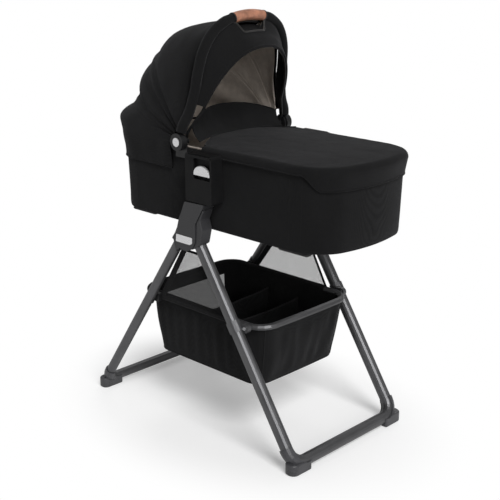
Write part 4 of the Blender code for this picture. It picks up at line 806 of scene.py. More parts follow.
def skirt_line(z, out, count):
    """The hood's line round the cot's head end, from the far hinge to the near one."""
    ring = cot_outline(min(z, COT_HIGH.z), out, 400, at_z=z)
    edge = HINGE.x - HOOD_START_R
    head = ring[ring[:, 0] < edge - 0.002]
    head = head[np.argsort(-np.arctan2(head[:, 1], -(head[:, 0] - HINGE.x)))]
    start = np.array((edge, head[0, 1], z))
    end = np.array((edge, head[-1, 1], z))
    return resample([start, *head, end], count)


# Pieces

# Finishes of the frame's own hard pieces: single ones, and those with a near and a far one
SINGLE_PIECES = (
    ("paint", ("head_leg_frame", "foot_leg_frame", "cot_rim", "basket_ring")),
    ("plastic", ("base_board", "visor_bow", "hood_bow_mid", "hood_bow_rear")),
)
PAIRED_PIECES = (
    ("boot", ("head_boot", "foot_boot")),
    ("hub", ("head_hub", "foot_knuckle")),
    ("silver", ("hub_plate", "pivot_cap", "release_button", "basket_rivet")),
    ("paint", ("basket_bracket",)),
    ("adapter", ("adapter",)),
    ("plastic", ("ring_guide", "pivot_block", "handle_hub")),
    ("rubber", ("cot_foot_head", "cot_foot_foot")),
)


def rigid_parts():
    """Finishes of the frame's own hard pieces."""
    for kind, parts in SINGLE_PIECES:
        dress(kind, *parts)
    for kind, parts in PAIRED_PIECES:
        dress(kind, *["%s_%s" % (part, side) for part in parts for side in ("near", "far")])


def leg_x(floor_x, z):
    """A leg's centre line at height z, given where it meets the floor tube."""
    return LEG_TOP.x + (floor_x - LEG_TOP.x) * (LEG_TOP.z - z) / (LEG_TOP.z - FLOOR_TUBE_Z)


def leg_slant(floor_x):
    """How much longer a level cut through a leg is than the leg's own width."""
    return math.hypot(floor_x - LEG_TOP.x, LEG_TOP.z - FLOOR_TUBE_Z) / (LEG_TOP.z - FLOOR_TUBE_Z)


def net_y(z):
    """How far out a net lies at height z."""
    return NET_OUT_Y + (NET_TOP_Y - NET_OUT_Y) * (z - NET_FOOT_Z) / (NET_TOP_Z - NET_FOOT_Z)


def side_nets():
    """Net panels between the legs, bound with tape along the legs and hemmed above the basket."""
    for side, sign in (("near", -1.0), ("far", 1.0)):
        cloth = Cloth()

        def corner(z, end, inset=0.0):
            """A point at height z beside a leg's tube."""
            if end == "head":
                x = leg_x(HEAD_FLOOR_X, z) + (HEAD_TUBE_R + NET_CLEAR + inset) * leg_slant(HEAD_FLOOR_X)
            else:
                x = leg_x(FOOT_FLOOR_X, z) - (FOOT_TUBE_R + NET_CLEAR + inset) * leg_slant(FOOT_FLOOR_X)
            return np.array((x, sign * net_y(z), z))

        pitch = looks().net_pitch
        for index in range(int((NET_TOP_Z - NET_FOOT_Z) / pitch)):
            z = NET_FOOT_Z + (index + 0.5) * pitch
            cloth.tube([corner(z, "head"), corner(z, "foot")], NET_THREAD_R, 4)
        low_head, low_foot = corner(NET_FOOT_Z, "head"), corner(NET_FOOT_Z, "foot")
        count = int((low_foot[0] - low_head[0]) / pitch)
        for index in range(count):
            x = low_head[0] + (index + 0.5) * pitch
            top = NET_TOP_Z
            for end in ("head", "foot"):
                near_top = corner(NET_TOP_Z, end)[0]
                low = low_head[0] if end == "head" else low_foot[0]
                share = (x - low) / (near_top - low)
                if 0.0 <= share < 1.0:
                    top = NET_FOOT_Z + share * (NET_TOP_Z - NET_FOOT_Z)
            cloth.tube([(x, sign * NET_OUT_Y, NET_FOOT_Z), (x, sign * net_y(top), top)], NET_THREAD_R, 4)
        for end in ("head", "foot"):
            width = HEAD_BINDING_W if end == "head" else FOOT_BINDING_W
            rows = [[corner(z, end, w) for z in np.linspace(NET_FOOT_Z, NET_TOP_Z, 24)]
                    for w in np.linspace(0.0, width, 5)]
            add_tape(cloth, np.array(rows), sign)
        for z0, z1 in ((NET_FOOT_Z, NET_FOOT_Z + NET_LOW_HEM), (NET_TOP_Z - NET_TOP_HEM, NET_TOP_Z)):
            rows = [np.linspace(corner(z, "head"), corner(z, "foot"), 40) for z in np.linspace(z0, z1, 4)]
            add_tape(cloth, np.array(rows), sign)
        item = put(cloth, "side_net_cloth_" + side, ("net_thread_and_painted_highlight", "binding", "thread"),
                   "stand", "side_net_" + side)
        tuple(corner((NET_TOP_Z + NET_FOOT_Z) / 2, "head"))
        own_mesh(item)
        top_w = float(corner(NET_TOP_Z, "foot")[0] - corner(NET_TOP_Z, "head")[0])


def add_tape(cloth, rows, sign):
    """A sewn tape with a line of stitches near each edge."""
    if sign > 0.0:
        rows = rows[:, ::-1]
    outer, normal = cloth.shell(rows, TAPE_T, slot=1, lift=TAPE_LIFT)
    for index in (1, -2):
        cloth.stitches(outer[index], normal[index], slot=2)


def cot_cover():
    """The cloth stretched over the cot's body, with corner seams and a piped bottom edge."""
    cloth = Cloth()
    count = 240
    deep = looks().wrinkle
    rows = []
    for inset in COT_BASE_INSETS:
        rows.append(cot_outline(COT_LOW.z, -inset, count, COT_LOW.z, FOOT_BULGE * (1.0 - inset / 0.2)))
    for step in range(1, 7):
        angle = math.radians(90.0 * step / 6.0)
        rows.append(cot_outline(COT_LOW.z, -COT_BASE_R * (1.0 - math.sin(angle)), count,
                                COT_LOW.z + COT_BASE_R * (1.0 - math.cos(angle)), FOOT_BULGE))
    for z in np.linspace(COT_LOW.z + 0.020, COT_HIGH.z, 30):
        rows.append(cot_outline(z, 0.0, count, z, FOOT_BULGE))
    grid = np.array(rows)
    normal = outward(grid, normals_of(grid, True), COT_CENTRE)
    height = grid[:, :, 2]
    wall = fade(height, COT_LOW.z + COT_BASE_R, COT_LOW.z + 0.05) * (1.0 - fade(height, 0.85, 0.875))
    soft = bumps(grid, (9.0, 9.0, 5.0), 3.0) * 0.7 + bumps(grid, (26.0, 26.0, 9.0), 11.0) * 0.3
    low = (1.0 - fade(height, 0.66, 0.74)) * bumps(grid, (38.0, 38.0, 12.0), 5.0)
    depth = wall * (soft * deep + low * deep * 0.7)
    seams = seam_columns(grid[-1])
    place = np.arange(count)
    for column in seams:
        away = np.minimum(np.abs(place - column), count - np.abs(place - column))
        depth -= SEAM_DEPTH * np.exp(-(away / 0.9) ** 2)[None, :] * wall
    grid = grid + normal * depth[:, :, None]
    cloth.shell(orient(grid, normal, True), looks().cloth_t, wrap=True)
    edge = cot_outline(COT_LOW.z + 0.006, -0.003, count, COT_LOW.z + 0.006, FOOT_BULGE)
    cloth.tube(edge, looks().piping_r, 8, closed=True, slot=1)
    for column in seams:
        for shift in (-2, 2):
            at = (column + shift) % count
            cloth.stitches(grid[12:, at], normal[12:, at], slot=2)
    item = put(cloth, "cot_cover", BLACK, "cot", "cot_shell")
    declare_sheet(grid, wrap=True)


def outward(grid, normal, centre):
    """Normals turned to point away from a centre."""
    facing = ((grid - centre) * normal).sum(axis=2, keepdims=True)
    return -normal if facing.mean() < 0.0 else normal


def orient(grid, normal, wrap=False):
    """The grid in the column order whose own normals point the way of the given ones."""
    return grid[:, ::-1] if (normals_of(grid, wrap) * normal).sum() < 0.0 else grid


def seam_columns(ring):
    """Columns where the sides meet the rounded corners."""
    columns = []
    foot, head = COT_HIGH.x - SEAM_IN, COT_LOW.x + SEAM_IN
    for x, y in ((foot, -1.0), (foot, 1.0), (head, 1.0), (head, -1.0)):
        score = np.abs(ring[:, 0] - x) + np.where(ring[:, 1] * y > 0.0, 0.0, 9.0)
        columns.append(int(np.argmin(score)))
    return columns


def cot_inside():
    """The lining round the cot's inner wall, and the mattress with its piped edge."""
    cloth = Cloth()
    count = 200
    floor = MATTRESS_LOW.z
    rows = [cot_outline(z, -LINING_INSET, count) for z in np.linspace(floor, COT_HIGH.z - 0.004, 22)]
    grid = np.array(rows)
    normal = -outward(grid, normals_of(grid, True), COT_CENTRE)
    ripple = bumps(grid, (16.0, 16.0, 8.0), 21.0) * 0.0016 + bumps(grid, (50.0, 50.0, 14.0), 8.0) * 0.0006
    grid = grid + normal * (ripple + 0.001)[:, :, None]
    cloth.shell(orient(grid, normal, True), LINING_T, wrap=True)
    cloth.tube(raised(grid[-1], 0.0015), 0.0024, 8, closed=True)
    cloth.stitches(grid[-3], normal[-3], slot=1)
    item = put(cloth, "cot_lining_cloth", ("lining", "tan_thread"), "cot", "cot_lining")
    declare_sheet(grid, wrap=True)

    pad = Cloth()
    height = MATTRESS_HIGH.z - MATTRESS_LOW.z
    inset = LINING_INSET + MATTRESS_GAP
    rows = []
    for share, draw in ((0.0, 0.014), (0.06, 0.005), (0.18, 0.0012), (0.34, 0.0004), (0.50, 0.0012), (0.64, 0.0006),
                        (0.74, 0.0030), (0.80, 0.0090)):
        rows.append(cot_outline(MATTRESS_LOW.z + 0.001, -inset - draw, count, at_z=MATTRESS_LOW.z + 0.001
                                + (height - 0.003) * share))
    for share in np.linspace(0.05, 1.0, 12):
        rows.append(cot_outline(MATTRESS_LOW.z, -inset - 0.010 - 0.150 * share, count, at_z=MATTRESS_LOW.z
                                + (height - 0.003) * (0.80 + 0.20 * (1.0 - (1.0 - share) ** 2))))
    grid = np.array(rows)
    top = fade(grid[:, :, 2], MATTRESS_LOW.z + height * 0.7, MATTRESS_HIGH.z)
    grid[:, :, 2] += top * bumps(grid, (14.0, 14.0, 1.0), 31.0) * 0.0016
    faces = ring_faces(len(rows), count)
    faces.append(tuple(reversed(range(count))))
    faces.append(tuple((len(rows) - 1) * count + j for j in range(count)))
    pad.add(grid.reshape(-1, 3), faces)
    pad.tube(raised(grid[6], 0.001), 0.0019, 8, closed=True)
    item = put(pad, "mattress_pad", ("lining",), "cot", "mattress")


def cover_edge(count):
    """The cot's outline from the near side of the foot cover round the foot end to its far side."""
    ring = cot_outline(COT_HIGH.z, 0.0, 800, bulge=FOOT_BULGE)
    keep = ring[ring[:, 0] > COVER_START_X]
    keep = keep[np.argsort(np.arctan2(keep[:, 1], keep[:, 0] - COVER_START_X - 0.10))]
    start = np.array((COVER_START_X, keep[0, 1], keep[0, 2]))
    end = np.array((COVER_START_X, keep[-1, 1], keep[-1, 2]))
    return resample([start, *keep, end], count)


def foot_cover():
    """The cover over the foot half: a soft crowned top, rounded edges, and a skirt round the foot end."""
    cloth = Cloth()
    count = 220
    edge = cover_edge(count)
    ahead = np.gradient(edge, axis=0)
    out = np.stack([ahead[:, 1], -ahead[:, 0], np.zeros(count)], axis=1)
    out = unit(out)
    top = COT_HIGH.z + COVER_RISE
    wrap = fade(edge[:, 0], COVER_WRAP_X, COVER_WRAP_X + 0.05)
    hem = COVER_HEM_SIDE_Z + (COVER_HEM_END_Z - COVER_HEM_SIDE_Z) * wrap
    rows = []
    for share in (0.0, 0.15, 0.4, 0.7, 1.0):
        z = hem + (top - COVER_EDGE_R - hem) * share
        lean = COVER_LEAN + wrap * COVER_FLARE * (share - 0.45)
        rows.append(raised(edge + out * lean[:, None], z - edge[:, 2]))
    for step in range(1, 8):
        angle = math.radians(90.0 * step / 7.0)
        drop = COVER_EDGE_R * (1.0 - math.sin(angle))
        lean = COVER_LEAN + wrap * COVER_FLARE * 0.55 - COVER_EDGE_R * (1.0 - math.cos(angle))
        rows.append(raised(edge + out * lean[:, None], top - drop - edge[:, 2]))
    rim = rows[-1]
    half = COT_HIGH.y
    spine_end = COT_HIGH.x - half * 0.92
    spine_x = FLAP_CREST_X + (spine_end - FLAP_CREST_X) * fade(edge[:, 0], COVER_START_X, COT_HIGH.x - 0.02) ** 0.8
    for t in np.linspace(0.0, 1.0, 34)[1:]:
        bend = math.sin(t * math.pi / 2.0) ** 0.85
        mix = 1.0 - fade(edge[:, 0], COVER_START_X, COVER_START_X + 0.22)
        pull = t + (bend - t) * mix
        x = rim[:, 0] + (spine_x - rim[:, 0]) * pull
        y = rim[:, 1] * (1.0 - t)
        z = np.full(count, top + COVER_CROWN * (1.0 - (1.0 - min(1.0, t * 1.1)) ** 2))
        rows.append(np.stack([x, y, z], axis=1))
    grid = np.array(rows)
    flat_top = fade(np.arange(len(grid)), 11.0, 14.0)[:, None]
    soft = bumps(grid, (7.0, 11.0, 7.0), 17.0) + bumps(grid, (22.0, 34.0, 8.0), 4.0) * 0.35
    grid[:, :, 2] += flat_top * soft * looks().wrinkle * 1.1
    near_edge = np.exp(-((np.arange(len(grid)) - 13.0) / 3.0) ** 2)[:, None]
    grid[:, :, 2] += near_edge * bumps(grid, (30.0, 10.0, 8.0), 9.0) * looks().wrinkle * 0.8
    normal = normals_of(grid)
    if normal[20, count // 4, 2] < 0.0:
        normal = -normal
    side_puff = np.exp(-((np.arange(len(grid)) - 3.0) / 2.2) ** 2)[:, None]
    grid += normal * (side_puff * bumps(grid, (20.0, 20.0, 20.0), 2.0) * looks().wrinkle * 0.9)[:, :, None]
    outer, normal = cloth.shell(orient(grid, normal), looks().cloth_t)
    cloth.tube(grid[0], looks().piping_r * 1.1, 8, slot=1)
    cloth.stitches(outer[1], normal[1], slot=2)
    edges = np.concatenate([grid[11:, 0], grid[11:, -1][::-1][1:]])
    cloth.tube(raised(edges, 0.001), looks().piping_r, 8, slot=1)
    item = put(cloth, "foot_cover", BLACK, "cot", "apron")
    declare_sheet(grid)


def wind_flap():
    """The stiffened flap that stands up from the foot cover, with a piped edge."""
    cloth = Cloth()
    half = Vector(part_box("wind_flap")[1]).y
    count = 96
    rows = []
    base_z = COT_HIGH.z + COVER_RISE + 0.0020
    ys = np.linspace(-half, half, count)
    s = 1.0 - (ys / (half * 1.10)) ** 2
    for t in np.linspace(0.0, 1.0, 26):
        x = FOLD.x - 0.004 - FLAP_BOW * s - FLAP_LEAN * t * (0.45 + 0.55 * s) - 0.006 * math.sin(t * math.pi)
        z = base_z + COVER_CROWN * np.minimum(1.0, s * 1.2) + FLAP_H * t * (0.30 + 0.70 * np.sqrt(np.maximum(s, 0.0)))
        rows.append(np.stack([x, ys, z], axis=1))
    grid = np.array(rows)
    up = np.linspace(0.0, 1.0, 26)[:, None]
    waves = bumps(grid, (9.0, 14.0, 16.0), 41.0) * 0.0045 + bumps(grid, (30.0, 40.0, 30.0), 6.0) * 0.0012
    grid[:, :, 0] += waves * fade(up, 0.0, 0.25)
    normal = normals_of(grid)
    if normal[12, count // 2, 0] < 0.0:
        normal = -normal
    outer, normal = cloth.shell(orient(grid, normal), looks().cloth_t)
    cloth.tube(grid[-1], looks().piping_r, 8, slot=1)
    cloth.tube(grid[0], looks().piping_r * 0.8, 8, slot=1)
    cloth.stitches(outer[-2], normal[-2], slot=2)
    item = put(cloth, "wind_flap_cloth", BLACK, "cot", "wind_flap")
    declare_sheet(grid)


def hood_keys(count, inset=0.0, skirt=True):
    """Key rows of the hood from the handle back to the skirt's hem, and each row's share of the handle's turn."""
    keys = []
    shares = []
    mid, rear = COUPLED["bow_mid_fold"], COUPLED["bow_rear_fold"]
    for lean, radius, half_w, power in HOOD_STATIONS:
        if lean == HANDLE_LEAN:
            row = beside_handle(HANDLE_INSET + min(inset, HOOD_LINING_EDGE_INSET), HOOD_START_R, -HOOD_TUCK, count)
            dip = HOLD_DIP * (1.0 - fade(np.abs(row[:, 1]), HOLD_HALF - 0.010, HOLD_HALF + 0.016))
            keys.append(row - np.outer(dip, (math.sin(math.radians(lean)), 0.0, math.cos(math.radians(lean)))))
        else:
            keys.append(hood_section(lean, radius - inset, half_w - inset, power, HOOD_START_R, 0.0, count))
        leans = (HOOD_STILL_LEAN, REAR_BOW_LEAN, MID_BOW_LEAN, HANDLE_LEAN)
        shares.append(float(np.interp(lean, leans, (0.0, rear, mid, 1.0))))
    for z, out in (HOOD_SKIRT if skirt else ((COT_HIGH.z + 0.004, HOOD_SKIRT[0][1]),)):
        keys.append(skirt_line(z, out - inset, count))
        shares.append(0.0)
    return keys, shares


def hood():
    """One continuous curved cloth from the handle over the bows to a skirt round the cot, and its knitted lining."""
    count = 132
    per_span = 7
    keys, shares = hood_keys(count)
    grid = smooth_rows(keys, per_span)
    share = linear_rows(shares, per_span)
    normal = outward(grid, normals_of(grid), HOOD_CENTRE)
    row = np.arange(len(grid))
    depth = np.zeros(grid.shape[:2])
    for key in BOW_KEYS:
        away = row - key * per_span
        depth += (0.0021 * np.exp(-(away / 0.75) ** 2) - 0.0030 * np.exp(-((np.abs(away) - 2.6) / 1.3) ** 2))[:, None]
    middle = np.linspace(-1.0, 1.0, count)[None, :]
    slack = 1.0 - fade(np.abs(middle), 0.80, 1.0)
    soft = bumps(grid, (9.0, 9.0, 9.0), 51.0) * 0.0030 + bumps(grid, (24.0, 10.0, 24.0), 12.0) * 0.0013
    depth += soft * slack * fade(row, 1.0, 5.0)[:, None]
    tail = fade(row, 7.0 * per_span, 9.0 * per_span)[:, None]
    depth += tail * bumps(grid, (30.0, 30.0, 8.0), 14.0) * 0.0022
    grid = grid + normal * depth[:, :, None]
    cloth = Cloth()
    cloth.shell(orient(grid, normal), looks().cloth_t, shares=share[:, None])
    cloth.tube(grid[-1], looks().piping_r, 8, slot=1, shares=share[-1])
    cloth.stitches(grid[-3], normal[-3], slot=2, shares=share[-3])
    for key in BOW_KEYS:
        for step in (-2, 2):
            at = key * per_span + step
            cloth.stitches(grid[at], normal[at], slot=2, shares=share[at])
    for column in (0, count - 1):
        cloth.tube(grid[: 9 * per_span, column], looks().piping_r, 8, slot=1, shares=share[: 9 * per_span])
    hold = np.abs(grid[0, :, 1]) < HOLD_HALF
    cloth.tube(raised(grid[0][hold], 0.001), 0.0030, 10, slot=3, shares=1.0)
    item = cloth.make("hood_canopy", [finish(kind) for kind in (*BLACK, "hold_edge")])
    set_shares(item, "cot", "handle", *HOOD_FOLD, cloth.shares)
    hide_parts("hood_main", "hood_mid", "hood_rear")
    declare_sheet(grid)

    lining = Cloth()
    keys, shares = hood_keys(count, HOOD_LINING_INSET, skirt=False)
    grid = smooth_rows(keys, per_span)
    share = linear_rows(shares, per_span)
    normal = -outward(grid, normals_of(grid), HOOD_CENTRE)
    row = np.arange(len(grid))
    sag = bumps(grid, (12.0, 8.0, 12.0), 61.0) * 0.0035 + bumps(grid, (40.0, 16.0, 40.0), 22.0) * 0.0010
    seam_rows = (2 * per_span + 2, 4 * per_span)
    for at in seam_rows:
        sag -= 0.0022 * np.exp(-((row - at) / 1.0) ** 2)[:, None]
    grid = grid + normal * (sag * fade(row, 0.0, 4.0)[:, None] + 0.0005)[:, :, None]
    lining.shell(orient(grid, normal), HOOD_LINING_T, shares=share[:, None])
    for at in seam_rows:
        for step in (-1, 1):
            lining.stitches(grid[at + step], normal[at + step], slot=1, shares=share[at + step])
            lining.tube(grid[at + step] - normal[at + step] * 0.0004, 0.0011, 6, shares=share[at + step])
    item = lining.make("hood_lining", [finish("lining"), finish("tan_thread")])
    set_shares(item, "cot", "handle", *HOOD_FOLD, lining.shares)
    declare_sheet(grid)


def visor():
    """The hood's peak: cloth from the handle to the front bow, with a hand hold cut out below the grip."""
    count = 120
    keys = [beside_handle(HANDLE_INSET + 0.002, VISOR_START_R, VISOR_STATIONS[0][4], count)]
    keys += [hood_section(lean, radius, half_w, power, VISOR_START_R, shift, count)
             for lean, radius, half_w, power, shift in VISOR_STATIONS[1:]]
    spans = 10
    dense = smooth_rows(keys, spans)
    rows = 30
    last = len(dense) - 1
    hold = 1.0 - fade(np.abs(dense[0, :, 1]), HOLD_HALF - 0.022, HOLD_HALF)
    begin = hold * HOLD_CUT
    grid = np.zeros((rows, count, 3))
    share = np.zeros((rows, count))
    for index, t in enumerate(np.linspace(0.0, 1.0, rows)):
        place = (begin + (1.0 - begin) * t) * last
        low = np.minimum(place.astype(int), last - 1)
        part = place - low
        columns = np.arange(count)
        grid[index] = dense[low, columns] * (1.0 - part)[:, None] + dense[low + 1, columns] * part[:, None]
        share[index] = place / last
    normal = outward(grid, normals_of(grid), VISOR_CENTRE)
    row = np.arange(rows)
    soft = bumps(grid, (14.0, 12.0, 14.0), 71.0) * 0.0022 + bumps(grid, (30.0, 30.0, 30.0), 13.0) * 0.0008
    loose = fade(row, 0.0, 4.0)[:, None] * (1.0 - fade(row, rows - 6.0, rows - 2.0))[:, None]
    grid = grid + normal * (soft * loose)[:, :, None]
    cloth = Cloth()
    cloth.shell(orient(grid, normal), looks().cloth_t, shares=share)
    cloth.tube(grid[-1] - normal[-1] * 0.0022, VISOR_BEAD_R, 10, shares=1.0)
    cloth.stitches(grid[-3], normal[-3], slot=2, shares=share[-3])
    behind = np.where(np.abs(grid[0, :, 1]) < HOLD_HALF + 0.012)[0]
    edge = beside_handle(HANDLE_INSET + 0.002, VISOR_START_R, -HOOD_TUCK, count)[behind]
    front = grid[0, behind] - normal[0, behind] * POCKET_IN
    steps = np.linspace(0.0, 1.0, 8)
    pocket = np.array([edge * (1.0 - t) + front * t - np.array((0.0, 0.0, POCKET_DROP)) * (1.0 - t ** 3)
                       for t in steps])
    cloth.shell(pocket, POCKET_T, shares=np.outer(steps, share[0, behind]), slot=1)
    held = np.abs(grid[0, :, 1]) < HOLD_HALF + 0.002
    cloth.tube(grid[0][held] + normal[0][held] * 0.001, 0.0026, 10, slot=3, shares=share[0][held])
    item = cloth.make("visor_peak", [finish(kind) for kind in (*BLACK, "hold_edge")])
    set_shares(item, "handle", "visor", *VISOR_FOLD, cloth.shares)
    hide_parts("visor_cloth")
    declare_sheet(grid, sewn_on=pocket)


def handle_line(count):
    """The handle's centre line, from the far hinge over to the near one."""
    points = [hinge_point(HANDLE_LEAN, r, y) for r, y in mirrored(list(HANDLE_PROFILE))]
    return resample(smooth_line(points, 10), count)


def handle():
    """The handle's cloth sleeve, its leather grip with sewn edge, and dark end rings."""
    line = handle_line(220)
    angle = math.radians(HANDLE_LEAN)
    across = np.array((math.cos(angle), 0.0, -math.sin(angle)))
    sleeve = Cloth()
    away = np.abs(line[:, 1])
    radius = SLEEVE_ACROSS * (1.0 + 0.02 * bumps(line, 30.0, 5.0))
    radius = radius - 0.0018 * (1.0 - fade(away, GRIP_HALF, GRIP_HALF + 0.03))
    sleeve.tube(line, radius, 24, across=across, flat=SLEEVE_THICK / SLEEVE_ACROSS)
    out = np.cross(unit(np.gradient(line, axis=0)), across)
    if out[len(line) // 2, 2] < 0.0:
        out = -out
    keep = away > GRIP_HALF + 0.006
    for part in (line[:, 1] > 0.0, line[:, 1] < 0.0):
        use = keep & part
        seam = line[use] - across * (radius[use] + 0.0002)[:, None]
        sleeve.tube(seam, 0.0013, 6, slot=1)
        for shift in (-0.0035, 0.0035):
            row = line[use] - across * (radius[use] * 0.975)[:, None] + out[use] * shift
            sleeve.stitches(row, np.broadcast_to(-across, row.shape), slot=2)
    item = put(sleeve, "handle_sleeve", BLACK, "handle", "carry_handle")

    grip = Cloth()
    wrap = resample(line[away < GRIP_HALF], 60)
    swell = 1.0 + 0.030 * np.cos(np.linspace(-1.0, 1.0, 60) * math.pi / 2.0) + 0.012 * bumps(wrap, 70.0, 3.0)
    radius = GRIP_R * 0.985 * swell
    grip.tube(wrap, radius, 32, across=across)
    forward = unit(np.gradient(wrap, axis=0))
    below = np.cross(forward, across)
    if below[30, 2] > 0.0:
        below = -below
    under = wrap + below * radius[:, None]
    grip.tube(under, 0.0012, 6, slot=1)
    for place in range(2, 58, 2):
        centre = under[place] + below[place] * 0.0003
        step = forward[place] * 0.0012
        side = across * 0.0034
        grip.tube([centre - side - step, centre + below[place] * 0.0006, centre + side + step], 0.0005, 5, slot=2)
    for end in (0, -1):
        beyond = forward[end] * (0.0022 if end == -1 else -0.0022)
        ring = [wrap[end] - beyond, wrap[end] + beyond]
        grip.tube(ring, GRIP_R * 1.045, 32, across=across, slot=1)
    item = put(grip, "leather_wrap", ("leather", "plastic", "tan_thread"),
               "handle", "leather_grip")


def bag_outline(z, out, count):
    """The basket's outline at height z: under the tube frame at the top, drawn in toward the bottom."""
    t = (RING_Z - z) / (RING_Z - BAG_LOW.z)
    gap = RING_R + BAG_GAP
    head = (RING_LOW.x + RING_END_IN + gap) * (1.0 - t) + BAG_LOW_HEAD_X * t - out
    foot = (RING_HIGH.x + RING_FOOT_OUT - gap) * (1.0 - t) + BAG_LOW_FOOT_X * t + out
    half = (RING_HIGH.y - RING_R - gap) * (1.0 - t) + BAG_LOW_HALF * t + out
    return plan_outline(head, foot, half, BAG_CORNER_R + out, z, 0.003, count)


def basket():
    """The storage bag: cloth walls with sewn corners, a sleeve round the frame, a net window and dividers."""
    count = 260
    cloth = Cloth()
    rows = []
    for inset in BAG_BASE_INSETS:
        rows.append(bag_outline(BAG_LOW.z, -inset, count))
    for step in range(1, 5):
        angle = math.radians(90.0 * step / 4.0)
        rise, draw = BAG_BASE_R * (1.0 - math.cos(angle)), BAG_BASE_R * (1.0 - math.sin(angle))
        rows.append(bag_outline(BAG_LOW.z + rise, -draw, count))
    heights = np.linspace(BAG_LOW.z + 2.0 * BAG_BASE_R, RING_Z - 0.004, 34)
    rows += [bag_outline(z, 0.0, count) for z in heights]
    grid = np.array(rows)
    normal = outward(grid, normals_of(grid, True), BAG_CENTRE)
    height = grid[:, :, 2]
    wall = fade(height, BAG_LOW.z + 0.006, BAG_LOW.z + 0.04) * (1.0 - fade(height, RING_Z - 0.05, RING_Z - 0.01))
    folds = bumps(grid, (34.0, 34.0, 4.0), 81.0) * 0.0040 + bumps(grid, (12.0, 12.0, 8.0), 18.0) * 0.0035
    depth = wall * folds
    belly = np.sin(np.clip((height - BAG_LOW.z) / (RING_Z - BAG_LOW.z), 0.0, 1.0) * math.pi)
    depth += belly * 0.0030
    grid = grid + normal * depth[:, :, None]
    head_wall = (grid[:-1, :, 0] < WINDOW_HEAD_X) & (np.abs(grid[:-1, :, 1]) < WINDOW_HALF)
    window = head_wall & (grid[:-1, :, 2] > WINDOW_LOW_Z) & (grid[:-1, :, 2] < WINDOW_HIGH_Z)
    keep = ~window
    oriented = orient(grid, normal, True)
    if oriented is not grid and not np.allclose(oriented, grid):
        keep = np.roll(keep[:, ::-1], -1, axis=1)
    cloth.shell(oriented, BAG_T, wrap=True, keep=keep)
    for column in bag_corners(grid[-1]):
        cloth.tube(grid[8:, column] + normal[8:, column] * 0.0006, 0.0017, 8, slot=1)
        for shift in (-2, 2):
            at = (column + shift) % count
            cloth.stitches(grid[8:, at], normal[8:, at], slot=2)
    cloth.tube(grid[7], 0.0020, 8, closed=True, slot=1)
    cloth.tube(grid[-1], 0.0022, 8, closed=True, slot=1)
    window_net(cloth, grid, normal, window)
    sleeve(cloth)
    item = put(cloth, "basket_cloth", ("black_cloth", "binding", "thread", "open_net"),
               "basket", "basket_bag")
    for number in (1, 2):
        divider(number)


def bag_corners(ring):
    """Columns at the middle of the bag's four corners."""
    columns = []
    for x, y in ((0.21, -0.16), (0.21, 0.16), (-0.23, 0.16), (-0.23, -0.16)):
        columns.append(int(np.argmin(np.hypot(ring[:, 0] - x * 1.3, ring[:, 1] - y * 1.3))))
    return columns


def window_net(cloth, grid, normal, window):
    """The bag's net window, with a sewn tape round it."""
    rows = np.where(window.any(axis=1))[0]
    columns = np.where(window.any(axis=0))[0]
    low, high = rows[0], rows[-1] + 1
    first, last = columns[0], columns[-1] + 1
    patch = grid[low:high + 1, first:last + 1]
    veil = patch + normal[low:high + 1, first:last + 1] * -0.0008
    cloth.shell(orient(veil, normal[low:high + 1, first:last + 1]), 0.0005, slot=3)
    border = np.concatenate([patch[0], patch[1:, -1], patch[-1, ::-1][1:], patch[::-1, 0][1:-1]])
    cloth.tube(border, 0.0026, 6, closed=True, slot=1, flat=0.6)


def sleeve(cloth):
    """The cloth channel that wraps the tube frame, open round the foot end where the tube is bare."""
    count = 420
    ring = plan_outline(RING_LOW.x + RING_END_IN, RING_HIGH.x, RING_HIGH.y - RING_R, RING_CORNER_R, RING_Z, 0.004,
                        count)
    covered = ring[:, 0] < CHANNEL_END_X
    start = int(np.argmax(covered & ~np.roll(covered, 1)))
    line = np.roll(ring, -start, axis=0)
    line = line[: int(covered.sum())]
    swell = 0.0022 + 0.0006 * bumps(line, 40.0, 7.0)
    cloth.tube(line, RING_R + swell, 20, slot=0)
    below = raised(line, -(RING_R + 0.0010))
    cloth.stitches(raised(below, -0.0012), (0.0, 0.0, -1.0), slot=2)


def divider(number):
    """A soft partition across the bag, its top edge sagging a little between its ends."""
    low, high = (np.array(corner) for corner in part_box("basket_divider_%d" % number))
    x = (low[0] + high[0]) / 2.0
    cloth = Cloth()
    count = 60
    ys = np.linspace(low[1] + 0.001, high[1] - 0.001, count)
    rows = []
    for t in np.linspace(0.0, 1.0, 20):
        half = 1.0 - DIVIDER_TAPER * (1.0 - t)
        z = low[2] + (high[2] - low[2]) * t - DIVIDER_SAG * t * (1.0 - (ys / high[1]) ** 2)
        rows.append(np.stack([np.full(count, x), ys * half, z], axis=1))
    grid = np.array(rows)
    slack = fade(1.0 - np.abs(ys / high[1]), 0.0, 0.25)[None, :]
    grid[:, :, 0] += bumps(grid, (1.0, 13.0, 16.0), 90.0 + number) * 0.0060 * slack
    outer, normal = cloth.shell(grid, BAG_T, lift=BAG_T / 2.0)
    # The top piping takes the lighter net thread finish, a painted highlight along the divider's lit top edge
    cloth.tube(grid[-1], 0.0024, 8, slot=1)
    cloth.stitches(outer[-2], normal[-2], slot=2)
    item = put(cloth, "bag_divider_%d" % number, ("black_cloth", "net_thread_and_painted_highlight", "thread"),
               "basket", "basket_divider_%d" % number)
    declare_sheet(grid)


